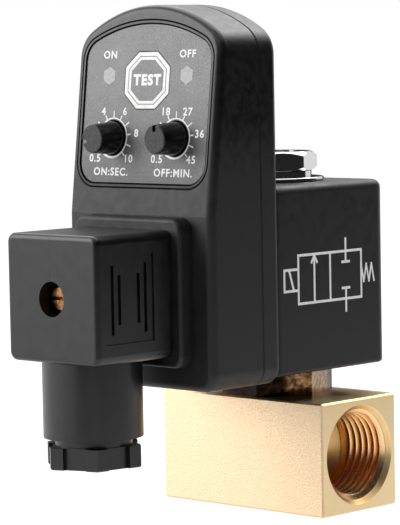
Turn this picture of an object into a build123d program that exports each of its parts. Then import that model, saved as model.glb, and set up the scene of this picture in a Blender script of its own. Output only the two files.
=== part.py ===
"""Automatic drain valve: a 2/2 solenoid valve with a screw-on electronic timer.

Units are millimetres. The origin is the bottom centre of the brass body, under the axis
of the solenoid tube. +X runs out of the outlet port, -Y points to the timer's face and +Z is up.
"""
from build123d import *
from math import cos, radians, sin, tan
import os

os.makedirs("parts", exist_ok=True)

# ---------------------------------------------------------------- driving dimensions
# brass body and its two G1/2 ports
body_length = 50.0
body_width = 26.0
body_height = 26.0
body_edge = 0.4
port_radius = 10.48
port_depth = 14.0
port_mouth = 1.0
port_cone = 1.6
chamber_radius = 9.0
chamber_floor = 14.2
seat_height = 18.5
seat_radius = 3.6
orifice_radius = 2.0
inlet_drill_radius = 2.0
outlet_drill_radius = 3.0

# solenoid tube with its hexagon, plunger and fixed core
base_hex_radius = 13.0
base_hex_height = 6.4
base_hex_turn = -70.0
base_spigot_length = 6.4
spigot_clearance = 0.03
spring_room = 1.15
tube_radius = 6.75
tube_wall = 0.5
tube_length = 41.0
ring_section = 0.75
plunger_length = 24.0
plunger_clearance = 0.06
flange_clearance = 0.6
plunger_flange = 1.8
plunger_stroke = 2.5
seal_radius = 3.4
seal_thickness = 2.0
seal_proud = 0.5
spring_wire = 0.5
spring_turns = 4
shading_radius = 4.6
shading_width = 0.8
shading_depth = 1.5
stud_step = 0.75

# coil
coil_width = 37.0
coil_rear = 18.3
coil_front = -22.0
coil_height = 43.0
coil_edge = 3.0
coil_top_edge = 2.0
coil_bottom_edge = 0.8
coil_wall = 2.2
coil_bore_clearance = 0.35
frame_thickness = 3.0
bobbin_wall = 1.0
bobbin_flange = 1.5
bobbin_flange_radius = 15.2
winding_radius = 14.4
washer_radius = 11.7
washer_thickness = 1.0
lock_washer_radius = 8.8
lock_washer_thickness = 1.3
nut_radius = 10.4
nut_height = 4.6
nut_turn = -66.0
nut_rim = 0.35

# plug-in contact pattern: two flat blades side by side, the wider earth blade above them
blade_spacing = 18.0
blade_width = 6.3
blade_thickness = 0.8
blade_reach = 7.5
screw_radius = 1.5

# timer
timer_half_width = 22.2
timer_bottom = 31.5
timer_apex = 116.4
timer_crown_radius = 35.6
timer_corner = 7.0
timer_lower_corner = 4.0
timer_rear = -23.0
timer_seam = -29.0
timer_front = -45.4
timer_bend = 70.0
timer_lean = 0.119
timer_wall = 2.0
timer_edge = 1.8
seam_groove = 0.3
post_radius = 2.9
pillar_radius = 1.6
case_screw_radius = 1.2
case_screw_head = 2.2
case_screw_sink = 2.2
case_screw_bite = 8.0
pad_half_width = 16.5
pad_height = 33.0
pad_depth = 3.9
pad_corner = 3.0
pad_edge = 0.8
block_size = 24.0
block_wall = 1.2
clip_wall = 0.6
socket_block_depth = 8.0
carrier_depth = 5.0

# timer face: film panel, dials, hexagon lenses and the octagonal test key
panel_half_width = 19.2
panel_bottom = 77.0
panel_apex = 112.1
panel_crown_radius = 39.0
panel_corner = 4.6
panel_recess = 0.7
panel_thickness = 0.4
panel_gap = 0.4
groove_width = 0.4
groove_depth = 0.45
groove_land = 0.85
dial_spacing = 19.4
dial_height = 86.9
knob_radius = 3.75
knob_end_radius = 3.15
knob_reach = 6.3
knob_clearance = 0.3
knob_shaft_radius = 1.5
knob_notch_width = 1.0
knob_notch_depth = 1.4
knob_notch_length = 4.5
dial_rest_on = 193.0
dial_rest_off = 90.0
lens_spacing = 24.0
lens_height = 100.8
lens_radius = 2.1
key_height = 99.7
key_half_width = 6.9
key_half_height = 6.35
key_flat = 2.95
key_gap = 0.15
key_travel = 0.4

# electronics behind the face
board_front = -31.6
board_thickness = 1.6
board_half_width = 18.0
board_bottom = 73.5
board_top = 105.0
pot_size = 9.5
pot_depth = 5.0
shaft_depth = 3.0
switch_size = 6.0
switch_depth = 3.5
stem_radius = 1.2
stem_depth = 0.8
stem_proud = 1.0
led_radius = 1.5
led_length = 6.4
led_foot = 1.0
capacitor_width = 13.0
capacitor_height = 5.0
capacitor_depth = 7.5
chip_place = (-8.0, 92.0)
chip_width = 4.0
chip_length = 8.6
chip_thickness = 1.6
chip_pitch = 1.27
chip_lead = 0.3
triac_place = (8.0, 92.0)
triac_width = 10.0
triac_length = 9.0
triac_thickness = 4.0
triac_tab_length = 6.4
triac_tab_thickness = 1.3
triac_hole_radius = 1.8

# cable plug, form A of the valve-connector standard
plug_size = 28.0
plug_depth = 23.0
plug_edge = 2.0
plug_wall = 1.8
plug_insert_depth = 10.5
plug_gasket_thickness = 0.8
insert_step = 3.0
boss_radius = 11.0
boss_bottom = 22.4
boss_axis = -60.5
boss_bore = 8.6
rib_width = 0.9
rib_depth = 0.6
cable_radius = 4.0
gland_nut_radius = 11.4
gland_nut_height = 4.8
gland_nut_turn = -40.1
gland_gap = 1.7
gland_channel_width = 5.4
gland_nut_edge = 0.3
gland_channel_depth = 1.0
gland_thread_length = 6.5
gland_washer_thickness = 0.8
gland_seal_length = 6.0
gland_thread_clearance = 0.05
screw_recess_radius = 3.85
screw_recess_depth = 5.6
plug_screw_head = 2.8
screw_ring_radius = 2.3
screw_ring_section = 0.5
field_depth = 0.35
field_centre = -62.3
field_length = 14.6
field_height = 19.0
grip_grooves = ((5.0, 15.0), (2.9, 10.8))

# ---------------------------------------------------------------- derived places
body_top = body_height
port_axis = body_height / 2
hex_top = body_top + base_hex_height
coil_bottom = hex_top
coil_top = coil_bottom + coil_height
coil_bore = tube_radius + coil_bore_clearance
spigot_bottom = body_top - base_spigot_length
spring_step = body_top + 1.6
tube_bottom = spring_step
tube_top = tube_bottom + tube_length
tube_bore = tube_radius - tube_wall
stud_radius = tube_radius - stud_step
base_spigot_bore = tube_radius + spring_room
plunger_radius = tube_bore - plunger_clearance
plunger_flange_radius = base_spigot_bore - flange_clearance
plunger_bottom = seat_height + seal_proud
plunger_top = plunger_bottom + plunger_length
core_bottom = plunger_top + plunger_stroke
nut_bottom = coil_top + washer_thickness + lock_washer_thickness
stud_top = nut_bottom + nut_height - 0.4
plug_centre = coil_bottom + coil_height / 2 - 0.6
plug_rear = timer_front - pad_depth
plug_front = plug_rear - plug_depth
plug_bottom = plug_centre - plug_size / 2
plug_insert_front = plug_rear - plug_gasket_thickness - plug_insert_depth
collar_size = block_size + 2 * block_wall
dial_places = [(-dial_spacing / 2, dial_height), (dial_spacing / 2, dial_height)]
lens_places = [(-lens_spacing / 2, lens_height), (lens_spacing / 2, lens_height)]
clamp_places = [
    (-blade_spacing / 2, plug_centre - blade_width / 2 - 2.4),
    (blade_spacing / 2, plug_centre - blade_width / 2 - 2.4),
    (blade_width / 2 + 2.8, plug_centre + blade_spacing / 2),
]
board_rear = board_front + board_thickness
pot_front = board_front - pot_depth
stem_tip = board_front - switch_depth - stem_proud
post_inset = timer_wall + post_radius + 0.3
post_places = [
    (-timer_half_width + post_inset, timer_bottom + post_inset),
    (timer_half_width - post_inset, timer_bottom + post_inset),
    (-timer_half_width + post_inset + 3.5, timer_apex - post_inset - 3.0),
    (timer_half_width - post_inset - 3.5, timer_apex - post_inset - 3.0),
]
pillar_places = [(-15.6, 94.5), (15.6, 94.5), (-15.6, 77.0), (15.6, 77.0)]


def face_y(height):
    """Y of the timer's front face at a height: upright below the bend, leaning back above it."""
    return timer_front + max(0.0, height - timer_bend) * timer_lean


def front_plane(y):
    """Plane facing the viewer at the given Y: local x is X, local y is Z, extrusion runs to -Y."""
    return Plane(origin=(0, y, 0), x_dir=(1, 0, 0), z_dir=(0, -1, 0))


def side_plane(x):
    """Plane square to X: local x is Y, local y is Z."""
    return Plane(origin=(x, 0, 0), x_dir=(0, 1, 0), z_dir=(1, 0, 0))


def save(part, name):
    """Label a finished part and write its STEP file."""
    part.label = name
    export_step(part, f"parts/{name}.step")


def arched_outline(half_width, bottom, apex, crown, corner, lower_corner):
    """Flat-bottomed outline with upright sides and a crowned top, in x and z."""
    shoulder = apex - crown + (crown**2 - half_width**2) ** 0.5
    with BuildSketch() as outline:
        with BuildLine():
            start = (-half_width, shoulder)
            end = (half_width, shoulder)
            Polyline(start, (-half_width, bottom), (half_width, bottom), end)
            ThreePointArc(end, (0, apex), start)
        make_face()
        fillet(outline.vertices().group_by(Axis.Y)[0], lower_corner)
        fillet(outline.vertices().group_by(Axis.Y)[-1], corner)
    return outline.sketch


def timer_outline(inset):
    """Timer outline, drawn inside its outer edge by the inset."""
    return arched_outline(
        timer_half_width - inset,
        timer_bottom + inset,
        timer_apex - inset,
        timer_crown_radius - inset,
        timer_corner - inset,
        timer_lower_corner - inset,
    )


def panel_outline(inset):
    """Outline of the film panel, drawn inside its edge by the inset."""
    return arched_outline(
        panel_half_width - inset,
        panel_bottom + inset,
        panel_apex - inset,
        panel_crown_radius - inset,
        panel_corner - inset,
        panel_corner - inset,
    )


def key_outline(grow):
    """Octagon of the test key, grown outwards by a gap."""
    half_width = key_half_width + grow
    half_height = key_half_height + grow
    flat = key_flat + 0.4 * grow
    with BuildSketch() as outline:
        with BuildLine():
            Polyline(
                (flat, key_height + half_height),
                (half_width, key_height + flat),
                (half_width, key_height - flat),
                (flat, key_height - half_height),
                (-flat, key_height - half_height),
                (-half_width, key_height - flat),
                (-half_width, key_height + flat),
                (-flat, key_height + half_height),
                close=True,
            )
        make_face()
    return outline.sketch


def discs(places, radius):
    """Round outlines of one radius at the given places."""
    with BuildSketch() as outline:
        with Locations(*places):
            Circle(radius)
    return outline.sketch


def lens_outline(grow, places):
    """Hexagons of the indicator lenses, a corner upwards, grown outwards by a gap."""
    with BuildSketch() as outline:
        with Locations(*places):
            RegularPolygon(lens_radius + grow, 6, rotation=90)
    return outline.sketch


def blade_outline(grow, thicken=0.0):
    """The three contact blades seen end on: two upright, the earth blade level above them."""
    half = blade_spacing / 2
    long_side = blade_width + 2 * grow
    short_side = blade_thickness + 2 * grow + 2 * thicken
    with BuildSketch() as outline:
        with Locations((-half, plug_centre), (half, plug_centre)):
            Rectangle(short_side, long_side)
        with Locations((0, plug_centre + half)):
            Rectangle(long_side, short_side)
    return outline.sketch


def face_slab(outline, inner, outer):
    """Slab of the given outline lying along the timer's leaning face, between two depths behind it."""
    low = timer_bend
    high = timer_apex + 2
    with BuildPart() as slab:
        with BuildSketch(front_plane(timer_seam)):
            add(outline)
        extrude(amount=timer_seam - timer_front + 2)
        with BuildSketch(side_plane(-timer_half_width - 1)):
            with BuildLine():
                Polyline(
                    (face_y(low) + inner, low),
                    (face_y(low) + outer, low),
                    (face_y(high) + outer, high),
                    (face_y(high) + inner, high),
                    close=True,
                )
            make_face()
        extrude(amount=2 * timer_half_width + 2, mode=Mode.INTERSECT)
    return slab.part


def timer_block(inset):
    """Front half of the timer as a solid with its leaning face, shrunk inwards by a wall."""
    front = timer_front + inset
    high = timer_apex + 2
    with BuildPart() as block:
        with BuildSketch(front_plane(timer_seam)):
            add(timer_outline(inset))
        extrude(amount=timer_seam - front)
        with BuildSketch(side_plane(-timer_half_width - 1)):
            with BuildLine():
                Polyline(
                    (front, timer_bend),
                    (front - 1, timer_bend),
                    (front - 1, high),
                    (face_y(high) + inset, high),
                    close=True,
                )
            make_face()
        extrude(amount=2 * timer_half_width + 2, mode=Mode.SUBTRACT)
    return block.part


# ---------------------------------------------------------------- brass body
with BuildPart() as valve_body:
    Box(body_length, body_width, body_height, align=(Align.CENTER, Align.CENTER, Align.MIN))
    chamfer(valve_body.edges(), body_edge)
    # each port is bored with a chamfered mouth and a shallow cone at its end
    for end in (-1, 1):
        mouth = end * body_length / 2
        shoulder = mouth - end * port_depth
        floor = shoulder - end * port_cone
        with BuildSketch(Plane.XZ):
            with BuildLine():
                Polyline(
                    (mouth + end, port_axis),
                    (mouth + end, port_axis + port_radius + port_mouth),
                    (mouth, port_axis + port_radius + port_mouth),
                    (mouth - end * port_mouth, port_axis + port_radius),
                    (shoulder, port_axis + port_radius),
                    (shoulder, port_axis + port_radius - port_mouth),
                    (floor, port_axis + port_radius - port_mouth - 2 * port_cone),
                    (floor, port_axis),
                    close=True,
                )
            make_face()
        revolve(axis=Axis((0, 0, port_axis), (1, 0, 0)), mode=Mode.SUBTRACT)
    # chamber under the tube base, with the seat nozzle left standing in its middle
    with BuildSketch(Plane.XY.offset(chamber_floor)):
        Circle(chamber_radius)
        Circle(seat_radius, mode=Mode.SUBTRACT)
    extrude(amount=body_top - chamber_floor, mode=Mode.SUBTRACT)
    with BuildSketch(Plane.XY.offset(seat_height)):
        Circle(chamber_radius)
    extrude(amount=body_top - seat_height, mode=Mode.SUBTRACT)
    with BuildSketch(Plane.XY.offset(body_top - 2 * ring_section - 0.1)):
        Circle(chamber_radius + 2 * ring_section + 0.2)
    extrude(amount=2 * ring_section + 0.1, mode=Mode.SUBTRACT)
    # orifice, outlet drilling below it and inlet drilling into the chamber
    outlet_drill_height = chamber_floor - outlet_drill_radius - 1.2
    with BuildSketch(Plane.XY.offset(outlet_drill_height)):
        Circle(orifice_radius)
    extrude(amount=seat_height - outlet_drill_height, mode=Mode.SUBTRACT)
    with BuildSketch(Plane.YZ.offset(-orifice_radius - 1.0)):
        with Locations((0, outlet_drill_height)):
            Circle(outlet_drill_radius)
    extrude(amount=body_length / 2, mode=Mode.SUBTRACT)
    with BuildSketch(Plane.YZ.offset(-seat_radius - 1.0)):
        with Locations((0, chamber_floor + inlet_drill_radius + 0.1)):
            Circle(inlet_drill_radius)
    extrude(amount=-body_length / 3, mode=Mode.SUBTRACT)
save(valve_body.part, "valve_body")

# ---------------------------------------------------------------- solenoid tube
with BuildPart() as tube_base:
    with BuildSketch(Plane.XY.offset(body_top)):
        RegularPolygon(base_hex_radius, 6, rotation=base_hex_turn)
    extrude(amount=base_hex_height)
    # the corners of the hexagon are turned off to a cone at its top
    with BuildSketch(Plane.XZ):
        with BuildLine():
            inner = base_hex_radius * cos(radians(30))
            Polyline(
                (inner, hex_top),
                (base_hex_radius + 1, hex_top),
                (base_hex_radius + 1, hex_top - (base_hex_radius + 1 - inner) * 0.5),
                close=True,
            )
        make_face()
    revolve(axis=Axis.Z, mode=Mode.SUBTRACT)
    with BuildSketch(Plane.XY.offset(spigot_bottom)):
        Circle(chamber_radius - spigot_clearance)
    extrude(amount=base_spigot_length)
    with BuildSketch(Plane.XY.offset(spigot_bottom)):
        Circle(base_spigot_bore)
    extrude(amount=spring_step - spigot_bottom, mode=Mode.SUBTRACT)
    with BuildSketch(Plane.XY.offset(spring_step)):
        Circle(tube_radius)
    extrude(amount=hex_top - spring_step, mode=Mode.SUBTRACT)
save(tube_base.part, "tube_base")

with BuildPart() as tube_o_ring:
    with BuildSketch(Plane.XZ):
        with Locations((chamber_radius + ring_section + 0.1, body_top - ring_section - 0.05)):
            RegularPolygon(ring_section, 8, major_radius=False)
    revolve(axis=Axis.Z)
save(tube_o_ring.part, "tube_o_ring")

with BuildPart() as guide_tube:
    with BuildSketch(Plane.XY.offset(tube_bottom)):
        Circle(tube_radius)
        Circle(tube_bore, mode=Mode.SUBTRACT)
    extrude(amount=tube_length)
save(guide_tube.part, "guide_tube")

with BuildPart() as fixed_core:
    with BuildSketch(Plane.XY.offset(core_bottom)):
        Circle(tube_bore)
    extrude(amount=tube_top - core_bottom)
    with BuildSketch(Plane.XY.offset(tube_top)):
        Circle(tube_radius)
    extrude(amount=coil_top - tube_top - 1.0)
    with BuildSketch(Plane.XY.offset(coil_top - 1.0)):
        Circle(stud_radius)
    extrude(amount=stud_top - coil_top + 1.0)
    chamfer(fixed_core.faces().sort_by(Axis.Z)[-1].edges(), 0.8)
    with BuildSketch(Plane.XY.offset(core_bottom)):
        Circle(shading_radius)
        Circle(shading_radius - shading_width, mode=Mode.SUBTRACT)
    extrude(amount=shading_depth, mode=Mode.SUBTRACT)
save(fixed_core.part, "fixed_core")

with BuildPart() as shading_ring:
    with BuildSketch(Plane.XY.offset(core_bottom)):
        Circle(shading_radius)
        Circle(shading_radius - shading_width, mode=Mode.SUBTRACT)
    extrude(amount=shading_depth)
save(shading_ring.part, "shading_ring")

with BuildPart() as plunger:
    with BuildSketch(Plane.XY.offset(plunger_bottom)):
        Circle(plunger_flange_radius)
    extrude(amount=plunger_flange)
    with BuildSketch(Plane.XY.offset(plunger_bottom)):
        Circle(plunger_radius)
    extrude(amount=plunger_length)
    chamfer(plunger.faces().sort_by(Axis.Z)[-1].edges(), 0.4)
    with BuildSketch(Plane.XY.offset(plunger_bottom)):
        Circle(seal_radius)
    extrude(amount=seal_thickness - seal_proud, mode=Mode.SUBTRACT)
    # two flats let the fluid pass the plunger into the tube
    for side in (-1, 1):
        flat_centre = side * (plunger_radius + 0.1)
        with BuildSketch(Plane.XY.offset(plunger_bottom + plunger_flange + 4)):
            with Locations((0, flat_centre)):
                Rectangle(2 * plunger_radius, 1.6)
        extrude(amount=plunger_length, mode=Mode.SUBTRACT)
save(plunger.part, "plunger")

with BuildPart() as plunger_seal:
    with BuildSketch(Plane.XY.offset(seat_height)):
        Circle(seal_radius)
    extrude(amount=seal_thickness)
save(plunger_seal.part, "plunger_seal")

with BuildPart() as plunger_spring:
    spring_bottom = plunger_bottom + plunger_flange
    spring_radius = (base_spigot_bore + plunger_radius) / 2 + 0.05
    spring_height = spring_step - spring_bottom - spring_wire
    with BuildLine() as coil_line:
        Helix(
            pitch=spring_height / spring_turns,
            height=spring_height,
            radius=spring_radius,
            center=(0, 0, spring_bottom + spring_wire / 2),
        )
    with BuildSketch(Plane(origin=coil_line.line @ 0, z_dir=coil_line.line % 0)):
        RegularPolygon(spring_wire / 2, 6)
    sweep(is_frenet=True)
save(plunger_spring.part, "plunger_spring")

# ---------------------------------------------------------------- coil
coil_depth = coil_rear - coil_front
coil_middle = (coil_rear + coil_front) / 2
cavity_width = coil_width - 2 * coil_wall
cavity_rear = coil_rear - coil_wall
cavity_front = -bobbin_flange_radius - 0.4

with BuildPart() as coil_casing:
    with BuildSketch(Plane.XY.offset(coil_bottom)):
        with Locations((0, coil_middle)):
            Rectangle(coil_width, coil_depth)
        fillet(vertices(), coil_edge)
    extrude(amount=coil_height)
    fillet(coil_casing.faces().sort_by(Axis.Z)[-1].edges(), coil_top_edge)
    fillet(coil_casing.faces().sort_by(Axis.Z)[0].edges(), coil_bottom_edge)
    with BuildSketch(Plane.XY.offset(coil_bottom + coil_wall)):
        with Locations((0, (cavity_rear + cavity_front) / 2)):
            Rectangle(cavity_width, cavity_rear - cavity_front)
    extrude(amount=coil_height - 2 * coil_wall, mode=Mode.SUBTRACT)
    with BuildSketch(Plane.XY.offset(coil_bottom)):
        Circle(coil_bore)
    extrude(amount=coil_height, mode=Mode.SUBTRACT)
    # slots for the three blades and the threaded hole for the long screw
    with BuildSketch(front_plane(cavity_front)):
        add(blade_outline(0))
    extrude(amount=cavity_front - coil_front, mode=Mode.SUBTRACT)
    with BuildSketch(front_plane(cavity_front - 1.0)):
        with Locations((0, plug_centre)):
            Circle(screw_radius)
    extrude(amount=cavity_front - coil_front, mode=Mode.SUBTRACT)
save(coil_casing.part, "coil_casing")

# C-shaped steel frame: top and bottom plates joined by a strap behind the winding
frame_bottom = coil_bottom + coil_wall
frame_top = coil_top - coil_wall
frame_front = -bobbin_flange_radius
with BuildPart() as coil_frame:
    with BuildSketch(side_plane(-cavity_width / 2 + 2)):
        with BuildLine():
            strap = cavity_rear - frame_thickness
            Polyline(
                (frame_front, frame_bottom),
                (cavity_rear, frame_bottom),
                (cavity_rear, frame_top),
                (frame_front, frame_top),
                (frame_front, frame_top - frame_thickness),
                (strap, frame_top - frame_thickness),
                (strap, frame_bottom + frame_thickness),
                (frame_front, frame_bottom + frame_thickness),
                close=True,
            )
        make_face()
    extrude(amount=cavity_width - 4)
    with BuildSketch(Plane.XY.offset(frame_bottom)):
        Circle(coil_bore)
    extrude(amount=frame_top - frame_bottom, mode=Mode.SUBTRACT)
save(coil_frame.part, "coil_frame")

bobbin_bottom = frame_bottom + frame_thickness
bobbin_top = frame_top - frame_thickness
with BuildPart() as bobbin:
    with BuildSketch(Plane.XZ):
        with BuildLine():
            hub = coil_bore + bobbin_wall
            rim = min(bobbin_flange_radius, cavity_rear - frame_thickness)
            Polyline(
                (coil_bore, bobbin_bottom),
                (rim, bobbin_bottom),
                (rim, bobbin_bottom + bobbin_flange),
                (hub, bobbin_bottom + bobbin_flange),
                (hub, bobbin_top - bobbin_flange),
                (rim, bobbin_top - bobbin_flange),
                (rim, bobbin_top),
                (coil_bore, bobbin_top),
                close=True,
            )
        make_face()
    revolve(axis=Axis.Z)
save(bobbin.part, "bobbin")

with BuildPart() as winding:
    with BuildSketch(Plane.XY.offset(bobbin_bottom + bobbin_flange)):
        Circle(min(winding_radius, rim))
        Circle(hub, mode=Mode.SUBTRACT)
    extrude(amount=bobbin_top - bobbin_bottom - 2 * bobbin_flange)
save(winding.part, "winding")

with BuildPart() as coil_terminals:
    with BuildSketch(front_plane(cavity_front)):
        add(blade_outline(0))
    extrude(amount=cavity_front - coil_front + blade_reach)
    chamfer(coil_terminals.faces().sort_by(Axis.Y)[:3].edges(), 0.25)
save(coil_terminals.part, "coil_terminals")

with BuildPart() as flat_washer:
    with BuildSketch(Plane.XY.offset(coil_top)):
        Circle(washer_radius)
        Circle(stud_radius + 0.3, mode=Mode.SUBTRACT)
    extrude(amount=washer_thickness)
save(flat_washer.part, "flat_washer")

with BuildPart() as lock_washer:
    with BuildSketch(Plane.XY.offset(coil_top + washer_thickness)):
        Circle(lock_washer_radius)
        Circle(stud_radius + 0.2, mode=Mode.SUBTRACT)
        with Locations((0, lock_washer_radius)):
            Rectangle(0.8, lock_washer_radius, mode=Mode.SUBTRACT)
    extrude(amount=lock_washer_thickness)
save(lock_washer.part, "lock_washer")

with BuildPart() as coil_nut:
    with BuildSketch(Plane.XY.offset(nut_bottom)):
        RegularPolygon(nut_radius, 6, rotation=nut_turn)
        Circle(stud_radius + 0.02, mode=Mode.SUBTRACT)
    extrude(amount=nut_height)
    # both rims are turned to a cone, so the corners end in curved facets
    nut_flat = nut_radius * cos(radians(30)) - nut_rim
    slope = tan(radians(30))
    reach = nut_radius + 1 - nut_flat
    for level, way in ((nut_bottom + nut_height, -1), (nut_bottom, 1)):
        with BuildSketch(Plane.XZ):
            with BuildLine():
                Polyline(
                    (nut_flat, level),
                    (nut_radius + 1, level),
                    (nut_radius + 1, level + way * reach * slope),
                    close=True,
                )
            make_face()
        revolve(axis=Axis.Z, mode=Mode.SUBTRACT)
save(coil_nut.part, "coil_nut")

# ---------------------------------------------------------------- timer housing
with BuildPart() as timer_gasket:
    with BuildSketch(front_plane(coil_front)):
        with Locations((0, plug_centre)):
            RectangleRounded(plug_size, plug_size, 2.0)
            Circle(screw_radius + 0.6, mode=Mode.SUBTRACT)
        add(blade_outline(0.4), mode=Mode.SUBTRACT)
    extrude(amount=coil_front - timer_rear)
save(timer_gasket.part, "timer_gasket")

with BuildPart() as timer_rear_shell:
    with BuildSketch(front_plane(timer_rear)):
        add(timer_outline(0))
    extrude(amount=timer_rear - timer_seam)
    fillet(timer_rear_shell.faces().sort_by(Axis.Y)[-1].edges(), timer_edge)
    chamfer(timer_rear_shell.faces().sort_by(Axis.Y)[0].edges(), seam_groove)
    inside_rear = timer_rear - timer_wall
    with BuildSketch(front_plane(inside_rear)):
        add(timer_outline(timer_wall))
    extrude(amount=inside_rear - timer_seam, mode=Mode.SUBTRACT)
    # collar round the coil's socket block, and the screw posts
    with BuildSketch(front_plane(inside_rear)):
        with Locations((0, plug_centre)):
            RectangleRounded(collar_size, collar_size, 1.5)
            Rectangle(block_size + 0.2, block_size + 0.2, mode=Mode.SUBTRACT)
        add(discs(post_places, post_radius))
    extrude(amount=inside_rear - timer_seam)
    with BuildSketch(front_plane(timer_rear)):
        with Locations((0, plug_centre)):
            Circle(screw_radius + 0.3)
        add(discs(post_places, case_screw_radius + 0.2))
        add(blade_outline(0.3))
    extrude(amount=timer_rear - timer_seam, mode=Mode.SUBTRACT)
    with BuildSketch(front_plane(timer_rear)):
        add(discs(post_places, case_screw_head + 0.2))
    extrude(amount=case_screw_sink, mode=Mode.SUBTRACT)
save(timer_rear_shell.part, "timer_rear_shell")

outer_block = timer_block(0)
inner_block = timer_block(timer_wall)
panel_recess_slab = face_slab(panel_outline(-panel_gap), panel_recess, -1)
groove_outline = panel_outline(-groove_land - groove_width) - panel_outline(-groove_land)
groove_slab = face_slab(groove_outline, groove_depth, -1)
with BuildPart() as timer_front_shell:
    add(outer_block)
    front_faces = timer_front_shell.faces().filter_by(lambda f: f.normal_at().Y < -0.9)
    rim = front_faces.edges().filter_by(lambda e: abs(e.center().Z - timer_bend) > 0.5)
    fillet(rim, timer_edge)
    chamfer(timer_front_shell.faces().sort_by(Axis.Y)[-1].edges(), seam_groove)
    # pad that carries the plug
    with BuildSketch(front_plane(timer_front)):
        with Locations((0, plug_centre)):
            RectangleRounded(2 * pad_half_width, pad_height, pad_corner)
    extrude(amount=pad_depth, taper=3)
    fillet(timer_front_shell.faces().sort_by(Axis.Y)[0].edges(), pad_edge)
    add(inner_block, mode=Mode.SUBTRACT)
    # screw posts and board pillars stand on the inside of the face
    with BuildSketch(front_plane(timer_seam)):
        add(discs(post_places, post_radius))
    extrude(until=Until.NEXT)
    with BuildSketch(front_plane(board_front)):
        add(discs(pillar_places, pillar_radius))
    extrude(until=Until.NEXT)
    with BuildSketch(front_plane(timer_seam)):
        add(discs(post_places, case_screw_radius))
    extrude(amount=case_screw_bite + 1, mode=Mode.SUBTRACT)
    # recess for the film, the fine groove round it and the openings of the face
    add(panel_recess_slab, mode=Mode.SUBTRACT)
    add(groove_slab, mode=Mode.SUBTRACT)
    with BuildSketch(front_plane(board_front - 3)):
        add(discs(dial_places, knob_radius + knob_clearance))
        add(key_outline(key_gap))
        add(lens_outline(0.05, lens_places))
    extrude(amount=board_front - timer_front, mode=Mode.SUBTRACT)
    # blade slots, the long screw's hole and the clear way through the pad
    with BuildSketch(front_plane(timer_front + timer_wall)):
        add(blade_outline(0.05))
        with Locations((0, plug_centre)):
            Circle(screw_radius + 0.3)
    extrude(amount=timer_wall + pad_depth, mode=Mode.SUBTRACT)
save(timer_front_shell.part, "timer_front_shell")

# socket block behind the rear wall: the coil's blades plug into its three clips
with BuildPart() as socket_block:
    with BuildSketch(front_plane(inside_rear)):
        with Locations((0, plug_centre)):
            Rectangle(block_size, block_size)
            Circle(screw_radius + 0.3, mode=Mode.SUBTRACT)
        add(blade_outline(0.4, clip_wall), mode=Mode.SUBTRACT)
    extrude(amount=socket_block_depth)
save(socket_block.part, "socket_block")

with BuildPart() as socket_clips:
    with BuildSketch(front_plane(inside_rear)):
        add(blade_outline(0.4, clip_wall))
        add(blade_outline(0.05), mode=Mode.SUBTRACT)
    extrude(amount=socket_block_depth)
save(socket_clips.part, "socket_clips")

# blade carrier inside the front wall, and the blades that reach forward into the plug
carrier_rear = timer_front + timer_wall + carrier_depth
with BuildPart() as blade_carrier:
    with BuildSketch(front_plane(carrier_rear)):
        with Locations((0, plug_centre)):
            RectangleRounded(block_size, block_size, 1.0)
            Circle(screw_radius + 0.3, mode=Mode.SUBTRACT)
        add(blade_outline(0.02), mode=Mode.SUBTRACT)
    extrude(amount=carrier_depth)
save(blade_carrier.part, "blade_carrier")

with BuildPart() as timer_blades:
    with BuildSketch(front_plane(carrier_rear + 2.0)):
        add(blade_outline(0))
    extrude(amount=carrier_rear + 2.0 - plug_rear + blade_reach)
    chamfer(timer_blades.faces().sort_by(Axis.Y)[:3].edges(), 0.25)
save(timer_blades.part, "timer_blades")

with BuildPart() as case_screws:
    head_face = timer_rear - case_screw_sink + 1.4
    with BuildSketch(front_plane(head_face)):
        add(discs(post_places, case_screw_head))
    extrude(amount=1.4)
    with BuildSketch(front_plane(head_face - 1.4)):
        add(discs(post_places, case_screw_radius - 0.02))
    extrude(amount=timer_rear - case_screw_sink - timer_seam + case_screw_bite)
    for x, z in post_places:
        with BuildSketch(front_plane(head_face)):
            with Locations((x, z)):
                Rectangle(2.4, 0.6)
                Rectangle(0.6, 2.4)
        extrude(amount=0.8, mode=Mode.SUBTRACT)
save(case_screws.part, "case_screws")

# ---------------------------------------------------------------- timer face
timer_panel_slab = face_slab(panel_outline(0), panel_recess, panel_recess - panel_thickness)
with BuildPart() as timer_panel:
    add(timer_panel_slab)
    with BuildSketch(front_plane(board_front - 3)):
        add(discs(dial_places, knob_radius + knob_clearance))
        add(key_outline(key_gap))
        add(lens_outline(0.05, lens_places))
    extrude(amount=board_front - timer_front, mode=Mode.SUBTRACT)
save(timer_panel.part, "timer_panel")

for label, place in (("lens_on", lens_places[0]), ("lens_off", lens_places[1])):
    lens = face_slab(lens_outline(0, [place]), timer_wall + 0.4, panel_recess - panel_thickness)
    save(lens, label)

key_slab = face_slab(key_outline(0), timer_wall + 0.6, panel_recess - panel_thickness)
key_flange = face_slab(key_outline(0.9), timer_wall + 1.4, timer_wall + 0.05)
with BuildPart() as test_button:
    add(key_slab)
    add(key_flange)
    with BuildSketch(front_plane(stem_tip)):
        with Locations((0, key_height)):
            Circle(stem_radius + 0.8)
    extrude(until=Until.NEXT)
save(test_button.part, "test_button")

with BuildPart() as switch_stem:
    with BuildSketch(front_plane(board_front - switch_depth + stem_depth - 0.2)):
        with Locations((0, key_height)):
            Circle(stem_radius)
    extrude(amount=board_front - switch_depth + stem_depth - 0.2 - stem_tip)
save(switch_stem.part, "switch_stem")

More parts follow.
